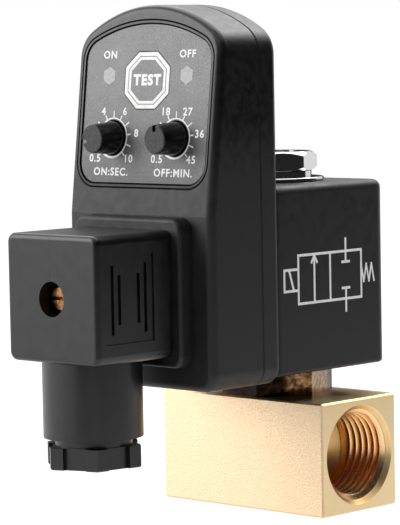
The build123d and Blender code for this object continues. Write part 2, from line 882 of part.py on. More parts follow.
with BuildPart() as test_switch:
    with BuildSketch(front_plane(board_front)):
        with Locations((0, key_height)):
            Rectangle(switch_size, switch_size)
    extrude(amount=switch_depth)
    chamfer(test_switch.faces().sort_by(Axis.Y)[0].edges(), 0.3)
    with BuildSketch(front_plane(board_front - switch_depth + stem_depth + key_travel)):
        with Locations((0, key_height)):
            Circle(stem_radius + 0.05)
    extrude(amount=stem_depth + key_travel, mode=Mode.SUBTRACT)
save(test_switch.part, "test_switch")


def dial_knob(x, clock):
    """Tapered knob on the pot's shaft, with a pointer notch at the given angle from +X."""
    face = face_y(dial_height)
    end = face - knob_reach
    with BuildPart() as knob:
        with BuildSketch(front_plane(pot_front - 0.3)):
            with Locations((x, dial_height)):
                Circle(knob_radius)
        extrude(amount=pot_front - 0.3 - face)
        with BuildSketch(front_plane(face)):
            with Locations((x, dial_height)):
                Circle(knob_radius)
        with BuildSketch(front_plane(end)):
            with Locations((x, dial_height)):
                Circle(knob_end_radius)
        loft()
        fillet(knob.faces().sort_by(Axis.Y)[0].edges(), 0.35)
        with BuildSketch(front_plane(pot_front + shaft_depth)):
            with Locations((x, dial_height)):
                Circle(knob_shaft_radius)
        extrude(amount=shaft_depth + 0.3)
        with BuildSketch(front_plane(end + knob_notch_length)):
            notch = Plane(
                origin=(x, dial_height, 0), x_dir=(cos(radians(clock)), sin(radians(clock)), 0)
            )
            with Locations(notch):
                with Locations((knob_radius, 0)):
                    Rectangle(2 * (knob_radius - knob_end_radius + knob_notch_depth), knob_notch_width)
        extrude(amount=knob_notch_length + 1, mode=Mode.SUBTRACT)
    return knob.part


save(dial_knob(dial_places[0][0], dial_rest_on), "knob_on")
save(dial_knob(dial_places[1][0], dial_rest_off), "knob_off")

# ---------------------------------------------------------------- electronics
for label, (x, z) in (("pot_on", dial_places[0]), ("pot_off", dial_places[1])):
    with BuildPart() as pot:
        with BuildSketch(front_plane(board_front)):
            with Locations((x, z)):
                Rectangle(pot_size, pot_size)
        extrude(amount=pot_depth)
        chamfer(pot.edges().filter_by(Axis.Y), 0.8)
        with BuildSketch(front_plane(pot_front + shaft_depth + 0.3)):
            with Locations((x, z)):
                Circle(knob_shaft_radius + 0.05)
        extrude(amount=shaft_depth + 0.3, mode=Mode.SUBTRACT)
    save(pot.part, label)

with BuildPart() as timer_board:
    with BuildSketch(front_plane(board_front + board_thickness)):
        with BuildLine():
            Polyline(
                (-board_half_width, board_bottom),
                (board_half_width, board_bottom),
                (board_half_width, board_top),
                (-board_half_width, board_top),
                close=True,
            )
        make_face()
        chamfer(vertices().group_by(Axis.Y)[-1], 5.0)
        fillet(vertices().group_by(Axis.Y)[0], 1.0)
    extrude(amount=board_thickness)
save(timer_board.part, "timer_board")

for label, (x, z) in (("led_on", lens_places[0]), ("led_off", lens_places[1])):
    with BuildPart() as led:
        with BuildSketch(front_plane(board_front)):
            with Locations((x, z)):
                Circle(led_radius + 0.4)
        extrude(amount=led_foot)
        with BuildSketch(front_plane(board_front - led_foot)):
            with Locations((x, z)):
                Circle(led_radius)
        extrude(amount=led_length - led_foot)
        fillet(led.faces().sort_by(Axis.Y)[0].edges(), led_radius - 0.1)
    save(led.part, label)

with BuildPart() as dropper_capacitor:
    with BuildSketch(front_plane(board_front)):
        with Locations((0, board_bottom + 0.7 * capacitor_height)):
            Rectangle(capacitor_width, capacitor_height)
    extrude(amount=capacitor_depth)
    fillet(dropper_capacitor.edges().filter_by(Axis.Y), 0.8)
save(dropper_capacitor.part, "dropper_capacitor")

with BuildPart() as timer_chip:
    with BuildSketch(front_plane(board_rear + chip_thickness)):
        with Locations(chip_place):
            Rectangle(chip_width, chip_length)
    extrude(amount=chip_thickness)
    with BuildSketch(front_plane(board_rear + chip_lead)):
        for side in (-1, 1):
            with Locations((chip_place[0] + side * (chip_width / 2 + 0.4), chip_place[1])):
                with GridLocations(1, chip_pitch, 1, 6):
                    Rectangle(0.9, 1.5 * chip_lead)
    extrude(amount=chip_lead)
save(timer_chip.part, "timer_chip")

triac_top = triac_place[1] + triac_length / 2
with BuildPart() as triac:
    with BuildSketch(front_plane(board_rear + triac_thickness)):
        with Locations(triac_place):
            Rectangle(triac_width, triac_length)
    extrude(amount=triac_thickness)
    with BuildSketch(front_plane(board_rear + triac_tab_thickness)):
        with Locations((triac_place[0], triac_top + triac_tab_length / 2 - 0.2)):
            Rectangle(triac_width, triac_tab_length)
            Circle(triac_hole_radius, mode=Mode.SUBTRACT)
    extrude(amount=triac_tab_thickness)
save(triac.part, "triac")

# ---------------------------------------------------------------- cable plug
plug_cavity = plug_size - 2 * plug_wall
boss_bore_top = boss_bottom + gland_thread_length + gland_washer_thickness + gland_seal_length
seat_face = plug_front + screw_recess_depth
with BuildPart() as plug_housing:
    with BuildSketch(front_plane(plug_rear)):
        with Locations((0, plug_centre)):
            RectangleRounded(plug_size, plug_size, plug_edge)
    extrude(amount=plug_depth)
    fillet(plug_housing.faces().sort_by(Axis.Y)[0].edges(), plug_edge * 0.6)
    with BuildSketch(Plane.XY.offset(boss_bottom)):
        with Locations((0, boss_axis)):
            Circle(boss_radius)
    extrude(amount=plug_bottom + plug_edge - boss_bottom)
    with BuildSketch(front_plane(plug_rear)):
        with Locations((0, plug_centre)):
            Rectangle(plug_cavity, plug_cavity)
    extrude(amount=plug_depth - plug_wall, mode=Mode.SUBTRACT)
    # sunk seat and sleeve for the head of the long screw
    with BuildSketch(front_plane(plug_insert_front)):
        with Locations((0, plug_centre)):
            Circle(screw_recess_radius + 1.4)
    extrude(amount=plug_insert_front - plug_front - plug_wall / 2)
    with BuildSketch(front_plane(seat_face)):
        with Locations((0, plug_centre)):
            Circle(screw_recess_radius)
    extrude(amount=screw_recess_depth + 1, mode=Mode.SUBTRACT)
    with BuildSketch(front_plane(plug_rear)):
        with Locations((0, plug_centre)):
            Circle(screw_radius + 0.2)
    extrude(amount=plug_depth, mode=Mode.SUBTRACT)
    # bore of the cable boss, and the cable's way into the housing
    with BuildSketch(Plane.XY.offset(boss_bottom)):
        with Locations((0, boss_axis)):
            Circle(boss_bore)
    extrude(amount=boss_bore_top - boss_bottom, mode=Mode.SUBTRACT)
    with BuildSketch(Plane.XY.offset(boss_bottom)):
        with Locations((0, boss_axis)):
            Circle(cable_radius + 1.0)
    extrude(amount=plug_bottom + plug_wall + 1 - boss_bottom, mode=Mode.SUBTRACT)
    # shallow framed field with grip grooves on both sides
    for side in (-1, 1):
        with BuildSketch(side_plane(side * (plug_size / 2 - field_depth))):
            with Locations((field_centre, plug_centre)):
                Rectangle(field_length, field_height)
        extrude(amount=side * (field_depth + 1), mode=Mode.SUBTRACT)
        with BuildSketch(side_plane(side * (plug_size / 2 - field_depth - rib_depth))):
            for reach, height in grip_grooves:
                with Locations((field_centre - reach, plug_centre), (field_centre + reach, plug_centre)):
                    Rectangle(rib_width, height)
        extrude(amount=side * (rib_depth + 1), mode=Mode.SUBTRACT)
save(plug_housing.part, "plug_housing")

with BuildPart() as plug_gasket:
    with BuildSketch(front_plane(plug_rear)):
        with Locations((0, plug_centre)):
            Rectangle(plug_cavity - 0.2, plug_cavity - 0.2)
            Circle(screw_radius + 0.4, mode=Mode.SUBTRACT)
        add(blade_outline(0.3), mode=Mode.SUBTRACT)
    extrude(amount=plug_gasket_thickness)
save(plug_gasket.part, "plug_gasket")

with BuildPart() as plug_insert:
    with BuildSketch(front_plane(plug_rear - plug_gasket_thickness)):
        with Locations((0, plug_centre)):
            Rectangle(plug_cavity - 0.3, plug_cavity - 0.3)
            Circle(screw_radius + 0.4, mode=Mode.SUBTRACT)
        add(blade_outline(0.45, clip_wall), mode=Mode.SUBTRACT)
    extrude(amount=plug_rear - plug_gasket_thickness - plug_insert_front)
    # wiring side is cut away towards the cable entry
    with BuildSketch(front_plane(plug_insert_front + insert_step)):
        with Locations((0, plug_centre - plug_cavity / 2)):
            Rectangle(plug_cavity, plug_cavity / 2)
    extrude(amount=insert_step, mode=Mode.SUBTRACT)
save(plug_insert.part, "plug_insert")

with BuildPart() as plug_clips:
    with BuildSketch(front_plane(plug_rear - plug_gasket_thickness)):
        add(blade_outline(0.4, clip_wall))
        add(blade_outline(0.05), mode=Mode.SUBTRACT)
    extrude(amount=plug_rear - plug_gasket_thickness - plug_insert_front)
save(plug_clips.part, "plug_clips")

with BuildPart() as clamp_screws:
    for x, z in clamp_places:
        with BuildSketch(front_plane(plug_insert_front)):
            with Locations((x, z)):
                Circle(1.9)
        extrude(amount=1.6)
        with BuildSketch(front_plane(plug_insert_front - 0.8)):
            with Locations((x, z)):
                Rectangle(4.0, 0.6)
        extrude(amount=1.0, mode=Mode.SUBTRACT)
save(clamp_screws.part, "clamp_screws")

with BuildPart() as screw_o_ring:
    with BuildSketch(side_plane(0)):
        with Locations((seat_face - screw_ring_section, plug_centre + screw_ring_radius)):
            RegularPolygon(screw_ring_section, 8, major_radius=False, rotation=22.5)
    revolve(axis=Axis((0, 0, plug_centre), (0, 1, 0)))
save(screw_o_ring.part, "screw_o_ring")

with BuildPart() as plug_screw:
    with BuildSketch(front_plane(seat_face - 1.0)):
        with Locations((0, plug_centre)):
            Circle(plug_screw_head)
    extrude(amount=2.0)
    fillet(plug_screw.faces().sort_by(Axis.Y)[0].edges(), 0.4)
    with BuildSketch(front_plane(seat_face - 2.0)):
        with Locations((0, plug_centre)):
            Rectangle(2 * plug_screw_head + 1, 0.8)
    extrude(amount=1.5, mode=Mode.SUBTRACT)
    with BuildSketch(front_plane(cavity_front - 1.6)):
        with Locations((0, plug_centre)):
            Circle(screw_radius - 0.03)
    extrude(amount=cavity_front - 1.6 - seat_face + 1.0)
save(plug_screw.part, "plug_screw")

# cable gland: rubber seal, washer and nut on one axis under the plug
with BuildPart() as gland_seal:
    with BuildSketch(Plane.XY.offset(boss_bore_top - gland_seal_length)):
        with Locations((0, boss_axis)):
            Circle(boss_bore - 0.1)
            Circle(cable_radius, mode=Mode.SUBTRACT)
    extrude(amount=gland_seal_length)
save(gland_seal.part, "gland_seal")

with BuildPart() as gland_washer:
    with BuildSketch(Plane.XY.offset(boss_bottom + gland_thread_length)):
        with Locations((0, boss_axis)):
            Circle(boss_bore - 0.1)
            Circle(cable_radius + 0.5, mode=Mode.SUBTRACT)
    extrude(amount=gland_washer_thickness)
save(gland_washer.part, "gland_washer")

gland_hex_top = boss_bottom - gland_gap
gland_bottom = gland_hex_top - gland_nut_height
with BuildPart() as gland_nut:
    with BuildSketch(Plane.XY.offset(gland_bottom)):
        with Locations((0, boss_axis)):
            RegularPolygon(gland_nut_radius, 6, rotation=gland_nut_turn)
    extrude(amount=gland_nut_height)
    chamfer(gland_nut.faces().sort_by(Axis.Z)[0].edges(), gland_nut_edge)
    # a channel is cut into the middle of each flat, leaving lands at the corners
    nut_apothem = gland_nut_radius * cos(radians(30))
    with BuildSketch(Plane.XY.offset(gland_bottom)):
        with Locations((0, boss_axis)):
            with PolarLocations(nut_apothem, 6, start_angle=gland_nut_turn + 30):
                Rectangle(2 * gland_channel_depth, gland_channel_width)
    extrude(amount=gland_nut_height, mode=Mode.SUBTRACT)
    # the thread starts on the hexagon and runs up into the boss
    with BuildSketch(Plane.XY.offset(gland_hex_top)):
        with Locations((0, boss_axis)):
            Circle(boss_bore - gland_thread_clearance)
    extrude(amount=gland_gap + gland_thread_length)
    with BuildSketch(Plane.XY.offset(gland_bottom)):
        with Locations((0, boss_axis)):
            Circle(cable_radius + 0.5)
    extrude(amount=gland_nut_height + gland_gap + gland_thread_length, mode=Mode.SUBTRACT)
save(gland_nut.part, "gland_nut")
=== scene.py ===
"""Looks of the automatic drain valve: finishes, port threads and printed marks, in a small studio."""
from math import cos, hypot, pi, radians, sin, tau

import bmesh
import bpy
from mathutils import Matrix, Vector


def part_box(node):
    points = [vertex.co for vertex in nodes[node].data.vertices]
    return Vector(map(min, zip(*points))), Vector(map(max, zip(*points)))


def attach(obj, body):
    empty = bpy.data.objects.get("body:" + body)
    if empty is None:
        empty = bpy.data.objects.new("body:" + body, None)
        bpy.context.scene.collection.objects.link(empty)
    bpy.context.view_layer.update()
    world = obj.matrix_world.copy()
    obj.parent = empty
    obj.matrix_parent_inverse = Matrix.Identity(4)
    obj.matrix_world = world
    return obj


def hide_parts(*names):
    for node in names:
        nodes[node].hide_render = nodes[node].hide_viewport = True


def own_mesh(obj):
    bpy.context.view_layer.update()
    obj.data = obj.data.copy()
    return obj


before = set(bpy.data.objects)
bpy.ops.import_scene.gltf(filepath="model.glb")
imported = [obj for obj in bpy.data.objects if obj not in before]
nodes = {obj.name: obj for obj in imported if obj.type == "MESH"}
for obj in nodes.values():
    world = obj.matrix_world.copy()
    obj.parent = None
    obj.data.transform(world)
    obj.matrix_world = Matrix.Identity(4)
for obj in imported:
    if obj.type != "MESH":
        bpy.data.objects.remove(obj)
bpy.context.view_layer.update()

# ---------------------------------------------------------------- studio
# A pale table in a white room, seen by a long lens from the front right and a little above. A
# broad soft lamp stands in front on the left, one hangs overhead and a small one is behind. Dark
# cards that only reflections see stand left and right of the camera, on the right, and low behind.
view_turn = radians(43.53)
view_rise = radians(4.55)
view_roll = radians(-1.07)
view_shift = (-0.0187, 0.0560)
view_distance = 0.6394
room_size = 6.0
room_white = 1.0
room_fill = 0.40
table_white = 0.82
table_glow_share = 0.72

scene = bpy.context.scene
scene.view_settings.view_transform = "Standard"
lens = bpy.data.cameras.new("view_lens")
lens.lens = 185.76
lens.sensor_width = 36.0
camera = bpy.data.objects.new("view_camera", lens)
scene.collection.objects.link(camera)
camera.matrix_world = (
    Matrix.Rotation(view_turn, 4, "Z")
    @ Matrix.Rotation(pi / 2 - view_rise, 4, "X")
    @ Matrix.Rotation(view_roll, 4, "Z")
    @ Matrix.Translation((view_shift[0], view_shift[1], view_distance))
)
scene.camera = camera


def seen_directly(tree):
    """1 for rays that come from the camera or through gloss and glass, 0 for the rest."""
    path = tree.nodes.new("ShaderNodeLightPath")
    seen = path.outputs["Is Camera Ray"]
    for ray in ("Is Glossy Ray", "Is Transmission Ray"):
        either = tree.nodes.new("ShaderNodeMath")
        either.operation = "MAXIMUM"
        tree.links.new(seen, either.inputs[0])
        tree.links.new(path.outputs[ray], either.inputs[1])
        seen = either.outputs["Value"]
    return seen


room = bpy.data.worlds.new("white_room")
room.use_nodes = True
room_light = room.node_tree.nodes["Background"]
room_light.inputs["Color"].default_value = (1.0, 1.0, 1.0, 1.0)
room_level = room.node_tree.nodes.new("ShaderNodeMapRange")
room_level.inputs["To Min"].default_value = room_fill
room_level.inputs["To Max"].default_value = room_white
room.node_tree.links.new(seen_directly(room.node_tree), room_level.inputs["Value"])
room.node_tree.links.new(room_level.outputs["Result"], room_light.inputs["Strength"])
scene.world = room

table_paint = bpy.data.materials.new("table_paint")
table_paint.use_nodes = True
table_tree = table_paint.node_tree
table_shader = table_tree.nodes["Principled BSDF"]
table_shader.inputs["Base Color"].default_value = (table_white, table_white, table_white, 1.0)
table_shader.inputs["Roughness"].default_value = 0.9
table_shader.inputs["Specular IOR Level"].default_value = 0.0
table_glow = table_tree.nodes.new("ShaderNodeEmission")
lit_by_room = (1.0 - table_glow_share) * table_white * room_fill
table_glow.inputs["Strength"].default_value = (1.0 - lit_by_room) / table_glow_share
table_mix = table_tree.nodes.new("ShaderNodeMixShader")
table_share = table_tree.nodes.new("ShaderNodeMath")
table_share.operation = "MULTIPLY"
table_share.inputs[1].default_value = table_glow_share
table_tree.links.new(seen_directly(table_tree), table_share.inputs[0])
table_tree.links.new(table_share.outputs["Value"], table_mix.inputs["Fac"])
table_tree.links.new(table_shader.outputs["BSDF"], table_mix.inputs[1])
table_tree.links.new(table_glow.outputs["Emission"], table_mix.inputs[2])
table_surface = table_tree.nodes["Material Output"].inputs["Surface"]
table_tree.links.new(table_mix.outputs["Shader"], table_surface)


def studio_card(name, size, place, material):
    """A flat square card in the studio, not part of the object."""
    card = bmesh.new()
    bmesh.ops.create_grid(card, x_segments=1, y_segments=1, size=size / 2, matrix=place)
    mesh = bpy.data.meshes.new(name)
    card.to_mesh(mesh)
    card.free()
    mesh.materials.append(material)
    made = bpy.data.objects.new(name, mesh)
    scene.collection.objects.link(made)
    return made


studio_card("table_top", room_size, Matrix.Identity(4), table_paint)

flag_black = bpy.data.materials.new("flag_black")
flag_black.use_nodes = True
flag_shader = flag_black.node_tree.nodes["Principled BSDF"]
flag_shader.inputs["Base Color"].default_value = (0.02, 0.02, 0.02, 1.0)
flag_shader.inputs["Roughness"].default_value = 1.0
flag_shader.inputs["Specular IOR Level"].default_value = 0.0


def gloss_only(card):
    """Keeps a card out of everything but reflections."""
    card.visible_camera = False
    card.visible_diffuse = False
    card.visible_shadow = False
    card.visible_transmission = False


flag_distance = 0.33
flag_size = 0.46
# each card's bearing from the object in degrees, its width and the height of its top edge
flag_stands = (
    (-68.0, 0.19, 0.30),
    (-14.0, 0.46, 0.46),
    (30.0, 0.46, 0.46),
    (138.0, 0.46, 0.15),
)
for number, (bearing, flag_width, flag_top) in enumerate(flag_stands):
    flag_place = (
        Matrix.Rotation(radians(bearing), 4, "Z")
        @ Matrix.Translation((flag_distance, 0.0, flag_top - flag_size / 2))
        @ Matrix.Rotation(pi / 2, 4, "Y")
        @ Matrix.Diagonal((1.0, flag_width / flag_size, 1.0, 1.0))
    )
    gloss_only(studio_card(f"dark_flag_{number}", flag_size, flag_place, flag_black))


def soft_lamp(name, place, aim, width, height, watts):
    """A rectangular softbox that faces a point."""
    lamp = bpy.data.lights.new(name, "AREA")
    lamp.shape = "RECTANGLE"
    lamp.size = width
    lamp.size_y = height
    lamp.energy = watts
    made = bpy.data.objects.new(name, lamp)
    scene.collection.objects.link(made)
    facing = (Vector(place) - Vector(aim)).to_track_quat("Z", "Y")
    made.matrix_world = Matrix.Translation(place) @ facing.to_matrix().to_4x4()


soft_lamp("front_softbox", (-0.52, -0.56, 0.40), (0.0, 0.0, 0.10), width=0.70, height=0.60, watts=5.2)
soft_lamp("top_softbox", (-0.20, 0.30, 0.72), (0.0, 0.0, 0.05), width=0.85, height=0.80, watts=5.0)
soft_lamp("back_softbox", (0.05, 0.50, 0.50), (0.0, 0.0, 0.06), width=0.30, height=0.25, watts=0.6)

# ---------------------------------------------------------------- brass body
# The two-port body is sawn from brass bar, milled on its long sides and turned at its ends.
# Its sides keep a fine sandy grain from the mill, and its ends are smoother and deeper gold.
brass_pale = (0.90, 0.72, 0.51)
brass_grain = (0.82, 0.60, 0.37)
brass_turned = (0.85, 0.64, 0.34)
brass_cloud = (0.90, 0.70, 0.42)
# painted shade and reflection: the brass inside the ports is coloured a deeper orange
bore_shade_orange = (0.86, 0.48, 0.15)
milled_grain = 0.00035
skin = 0.0001
end_fade = 0.0003
side_fade = 0.0004
body_low, body_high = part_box("valve_body")
body_half_height = body_high.z / 2


def new_finish(name, roughness, metallic=0.0, **levels):
    """An empty finish: its material, its tree and its shader with the plain values set."""
    made = bpy.data.materials.new(name)
    made.use_nodes = True
    shader = made.node_tree.nodes["Principled BSDF"]
    shader.inputs["Roughness"].default_value = roughness
    shader.inputs["Metallic"].default_value = metallic
    for level, value in levels.items():
        shader.inputs[level.replace("_", " ")].default_value = value
    return made, made.node_tree, shader


def grain(tree, size, stretch=(1.0, 1.0, 1.0), detail=2.0):
    """Noise on the object's own coordinates, with grains of a size in metres."""
    place = tree.nodes.new("ShaderNodeTexCoord")
    shape = tree.nodes.new("ShaderNodeMapping")
    shape.inputs["Scale"].default_value = [1.0 / (size * share) for share in stretch]
    noise = tree.nodes.new("ShaderNodeTexNoise")
    noise.inputs["Scale"].default_value = 1.0
    noise.inputs["Detail"].default_value = detail
    tree.links.new(place.outputs["Object"], shape.inputs["Vector"])
    tree.links.new(shape.outputs["Vector"], noise.inputs["Vector"])
    return noise.outputs["Fac"]


def graded(tree, value, low, high, from_low=0.35, from_high=0.65):
    """The value spread between two levels."""
    spread = tree.nodes.new("ShaderNodeMapRange")
    spread.inputs["From Min"].default_value = from_low
    spread.inputs["From Max"].default_value = from_high
    spread.inputs["To Min"].default_value = low
    spread.inputs["To Max"].default_value = high
    tree.links.new(value, spread.inputs["Value"])
    return spread.outputs["Result"]


def blended(tree, share, first, second):
    """A mix of two colours, or of two colour outputs, by a share."""
    mix = tree.nodes.new("ShaderNodeMix")
    mix.data_type = "RGBA"
    tree.links.new(share, mix.inputs["Factor"])
    for socket, colour in (("A", first), ("B", second)):
        entry = [i for i in mix.inputs if i.name == socket and i.type == "RGBA"][0]
        if isinstance(colour, tuple):
            entry.default_value = (*colour, 1.0)
        else:
            tree.links.new(colour, entry)
    return [o for o in mix.outputs if o.type == "RGBA"][0]


def relief(tree, shader, height, depth):
    """Raises the surface by a height pattern, to a depth in metres."""
    bump = tree.nodes.new("ShaderNodeBump")
    bump.inputs["Distance"].default_value = depth
    tree.links.new(height, bump.inputs["Height"])
    tree.links.new(bump.outputs["Normal"], shader.inputs["Normal"])


def along(tree, axis):
    """The object's own coordinate along X, Y or Z, in metres."""
    place = tree.nodes.new("ShaderNodeTexCoord")
    parts = tree.nodes.new("ShaderNodeSeparateXYZ")
    tree.links.new(place.outputs["Object"], parts.inputs["Vector"])
    return parts.outputs[axis]


def combined(tree, operation, first, second):
    """Two values, or a value and a number, put together by a maths operation."""
    maths = tree.nodes.new("ShaderNodeMath")
    maths.operation = operation
    for entry, value in zip(maths.inputs, (first, second)):
        if isinstance(value, (int, float)):
            entry.default_value = value
        else:
            tree.links.new(value, entry)
    return maths.outputs["Value"]


def away(tree, axis, middle=0.0):
    """Distance from a plane across X, Y or Z, in metres."""
    return combined(tree, "ABSOLUTE", combined(tree, "SUBTRACT", along(tree, axis), middle), 0.0)


def dress(names, finish):
    """Gives CAD nodes one finish."""
    for name in names:
        slots = nodes[name].data.materials
        slots.clear()
        slots.append(finish)


def milled_brass():
    """Grainy pale brass on the long sides, smoother and deeper on the ends, and a deeper orange in the
    ports as painted shade and reflection.
    """
    made, tree, shader = new_finish("milled_brass", 0.42, metallic=1.0)
    fine = grain(tree, milled_grain, detail=4.0)
    cloud = grain(tree, 0.004, detail=3.0)
    ends = graded(tree, away(tree, "X"), 0.0, 1.0, body_high.x - end_fade, body_high.x - skin)
    flank = graded(tree, away(tree, "Y"), 0.0, 1.0, body_high.y - side_fade, body_high.y - skin)
    height = away(tree, "Z", body_half_height)
    top = graded(tree, height, 0.0, 1.0, body_half_height - side_fade, body_half_height - skin)
    pale = blended(tree, graded(tree, fine, 0.0, 1.0), brass_pale, brass_grain)
    deep = blended(tree, graded(tree, cloud, 0.0, 1.0), brass_turned, brass_cloud)
    bore = blended(tree, graded(tree, cloud, 0.0, 1.0), bore_shade_orange, brass_turned)
    outside = blended(tree, combined(tree, "MAXIMUM", ends, top), bore, deep)
    tree.links.new(blended(tree, flank, outside, pale), shader.inputs["Base Color"])
    rough_side = graded(tree, fine, 0.44, 0.60)
    rough_end = graded(tree, cloud, 0.34, 0.42)
    level = tree.nodes.new("ShaderNodeMix")
    tree.links.new(flank, level.inputs["Factor"])
    tree.links.new(rough_end, level.inputs["A"])
    tree.links.new(rough_side, level.inputs["B"])
    tree.links.new(level.outputs["Result"], shader.inputs["Roughness"])
    sandy = combined(tree, "MULTIPLY", fine, graded(tree, flank, 0.12, 1.0, 0.0, 1.0))
    smoother = combined(tree, "MULTIPLY", sandy, graded(tree, ends, 1.0, 0.6, 0.0, 1.0))
    relief(tree, shader, smoother, 0.00009)
    return made


dress(["valve_body"], milled_brass())

# ---------------------------------------------------------------- port threads
# Both ports are tapped G1/2. The thread's ridge stands in from the bored wall as one helix with a
# blunt crest. The mouth's countersink cuts it back, and it ends short of the shoulder.
port_height = (body_low.z + body_high.z) / 2
thread_root = 0.01048
thread_crest = 0.00932
thread_pitch = 0.001814
thread_sink = 0.00004
thread_mouth = 0.0011
thread_end = 0.0122
mouth_slope = 1.4
crest_share = 0.06
base_share = 0.49
shoulder_share = 0.10
turn_steps = 72
cut_rings = 6
crest_gold = (0.95, 0.74, 0.46)
crest_streak = (0.90, 0.66, 0.38)
# painted shade and reflection: below the crests the thread is coloured a deeper, darker orange, as brass
# looks deep in its grooves
thread_shade_orange = (0.90, 0.40, 0.10)
thread_shade_streak = (0.76, 0.29, 0.06)
countersink_gold = (0.90, 0.66, 0.36)
crest_polish = 0.00008
crest_fade = 0.00032
countersink_polish = 0.0003
countersink_fade = 0.0010


def tapped_brass():
    """Cut brass of a thread: pale polished crests over flanks painted a deeper, darker orange as shade
    and reflection in the grooves, streaked along the cut.
    """
    made, tree, shader = new_finish("tapped_brass", 0.3, metallic=1.0)
    streak = grain(tree, 0.0008, stretch=(0.6, 2.0, 2.0))
    across = combined(tree, "POWER", along(tree, "Y"), 2.0)
    rise = combined(tree, "POWER", combined(tree, "SUBTRACT", along(tree, "Z"), port_height), 2.0)
    radius = combined(tree, "SQRT", combined(tree, "ADD", across, rise), 0.0)
    depth = graded(tree, radius, 0.0, 1.0, thread_crest + crest_polish, thread_crest + crest_fade)
    crest = blended(tree, streak, crest_gold, crest_streak)
    flank = blended(tree, streak, thread_shade_orange, thread_shade_streak)
    mouth = body_high.x - thread_mouth
    inner = mouth - countersink_fade
    outer = mouth - countersink_polish
    cut_back = graded(tree, away(tree, "X"), 0.0, 1.0, inner, outer)
    wall = blended(tree, cut_back, flank, countersink_gold)
    tree.links.new(blended(tree, depth, crest, wall), shader.inputs["Base Color"])
    tree.links.new(graded(tree, streak, 0.27, 0.30), shader.inputs["Roughness"])
    return made


def finished_piece(name, shape, body, finish, crease=35.0):
    """Turns a bmesh into a piece that rides on a body, smooth but for its sharp edges."""
    mesh = bpy.data.meshes.new(name)
    shape.to_mesh(mesh)
    shape.free()
    mesh.materials.append(finish)
    mesh.polygons.foreach_set("use_smooth", [True] * len(mesh.polygons))
    mesh.set_sharp_from_angle(angle=radians(crease))
    made = bpy.data.objects.new(name, mesh)
    scene.collection.objects.link(made)
    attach(made, body)
    return made


def port_thread(name, end, finish):
    """The ridge of one port; end is 1 at the outlet and -1 at the inlet."""
    mouth = body_high.x - thread_mouth
    floor = body_high.x - thread_end
    turns = (mouth - floor) / thread_pitch + 2
    flat = crest_share * thread_pitch
    foot = base_share * thread_pitch
    rim = thread_root + thread_sink
    shoulder = thread_crest + shoulder_share * (rim - thread_crest)
    section = [
        (-foot, rim),
        (-2 * flat, shoulder),
        (-flat, thread_crest),
        (flat, thread_crest),
        (2 * flat, shoulder),
        (foot, rim),
    ]
    ridge = bmesh.new()
    start = floor - thread_pitch
    corners = [ridge.verts.new((start + x, 0.0, port_height + r)) for x, r in section]
    profile = ridge.faces.new(corners)
    bmesh.ops.spin(
        ridge,
        geom=[profile, *profile.edges, *profile.verts],
        cent=(0.0, 0.0, port_height),
        axis=(1.0, 0.0, 0.0),
        dvec=(thread_pitch / turn_steps, 0.0, 0.0),
        angle=tau * turns,
        steps=round(turns * turn_steps),
    )
    for place, outward in ((mouth, 1.0), (floor, -1.0)):
        bmesh.ops.bisect_plane(
            ridge,
            geom=[*ridge.verts, *ridge.edges, *ridge.faces],
            plane_co=(place, 0.0, 0.0),
            plane_no=(outward, 0.0, 0.0),
            clear_outer=True,
        )
    bmesh.ops.holes_fill(ridge, edges=[e for e in ridge.edges if e.is_boundary], sides=0)
    # the mouth's countersink cuts the ridge back to a cone, ring by ring
    cut_depth = (rim - thread_crest) / mouth_slope
    for ring in range(1, cut_rings + 1):
        bmesh.ops.bisect_plane(
            ridge,
            geom=[*ridge.verts, *ridge.edges, *ridge.faces],
            dist=1e-7,
            plane_co=(mouth - cut_depth * ring / cut_rings, 0.0, 0.0),
            plane_no=(1.0, 0.0, 0.0),
        )
    bmesh.ops.triangulate(ridge, faces=ridge.faces)
    for corner in ridge.verts:
        arm = Vector((0.0, corner.co.y, corner.co.z - port_height))
        cone = rim - mouth_slope * max(0.0, mouth - corner.co.x)
        if arm.length < cone:
            arm *= cone / arm.length
            corner.co = (corner.co.x, arm.y, arm.z + port_height)
    if end < 0:
        half_turn = Matrix.Rotation(pi, 3, "Z")
        bmesh.ops.rotate(ridge, verts=ridge.verts, cent=(0.0, 0.0, 0.0), matrix=half_turn)
    bmesh.ops.recalc_face_normals(ridge, faces=ridge.faces)
    finished_piece(name, ridge, "valve", finish, crease=22.0)


thread_brass = tapped_brass()
port_thread("outlet_thread", 1, thread_brass)
port_thread("inlet_thread", -1, thread_brass)

# ---------------------------------------------------------------- solenoid tube
# The brass hexagon, painted near black with shade and dark reflection all over but for its lit
# right-hand faces, screws into the body and carries the drawn stainless tube. In it the plunger
# slides against its return spring, below the fixed core with its copper shading ring.
# painted shade: the hexagon is coloured near black with mottled patches, and its faces far along +X paler
# as its lit side
hex_shade_brown = (0.016, 0.008, 0.004)
hex_shade_black = (0.004, 0.002, 0.0015)
hex_lit_brass = (0.30, 0.17, 0.08)
hex_lit_cloud = (0.10, 0.05, 0.025)
hex_lit_from = 0.0085
hex_lit_to = 0.0100


def turned_metal(name, first, second, size, rough, stretch=(1.0, 1.0, 1.0), depth=0.000004):
    """Bare metal with fine tool marks: two tones, a roughness range and a slight relief."""
    made, tree, shader = new_finish(name, rough[0], metallic=1.0)
    marks = grain(tree, size, stretch)
    tree.links.new(blended(tree, marks, first, second), shader.inputs["Base Color"])
    tree.links.new(graded(tree, marks, *rough), shader.inputs["Roughness"])
    relief(tree, shader, marks, depth)
    return made


def moulded(name, dark, pale, size, rough, depth, **levels):
    """Moulded plastic or rubber: faint mottling, a fine mould grain and a roughness range."""
    made, tree, shader = new_finish(name, rough[0], **levels)
    mottle = grain(tree, 12 * size, detail=3.0)
    fine = grain(tree, size)
    tree.links.new(blended(tree, graded(tree, mottle, 0.0, 1.0), dark, pale), shader.inputs["Base Color"])
    tree.links.new(graded(tree, mottle, *rough), shader.inputs["Roughness"])
    relief(tree, shader, fine, depth)
    return made


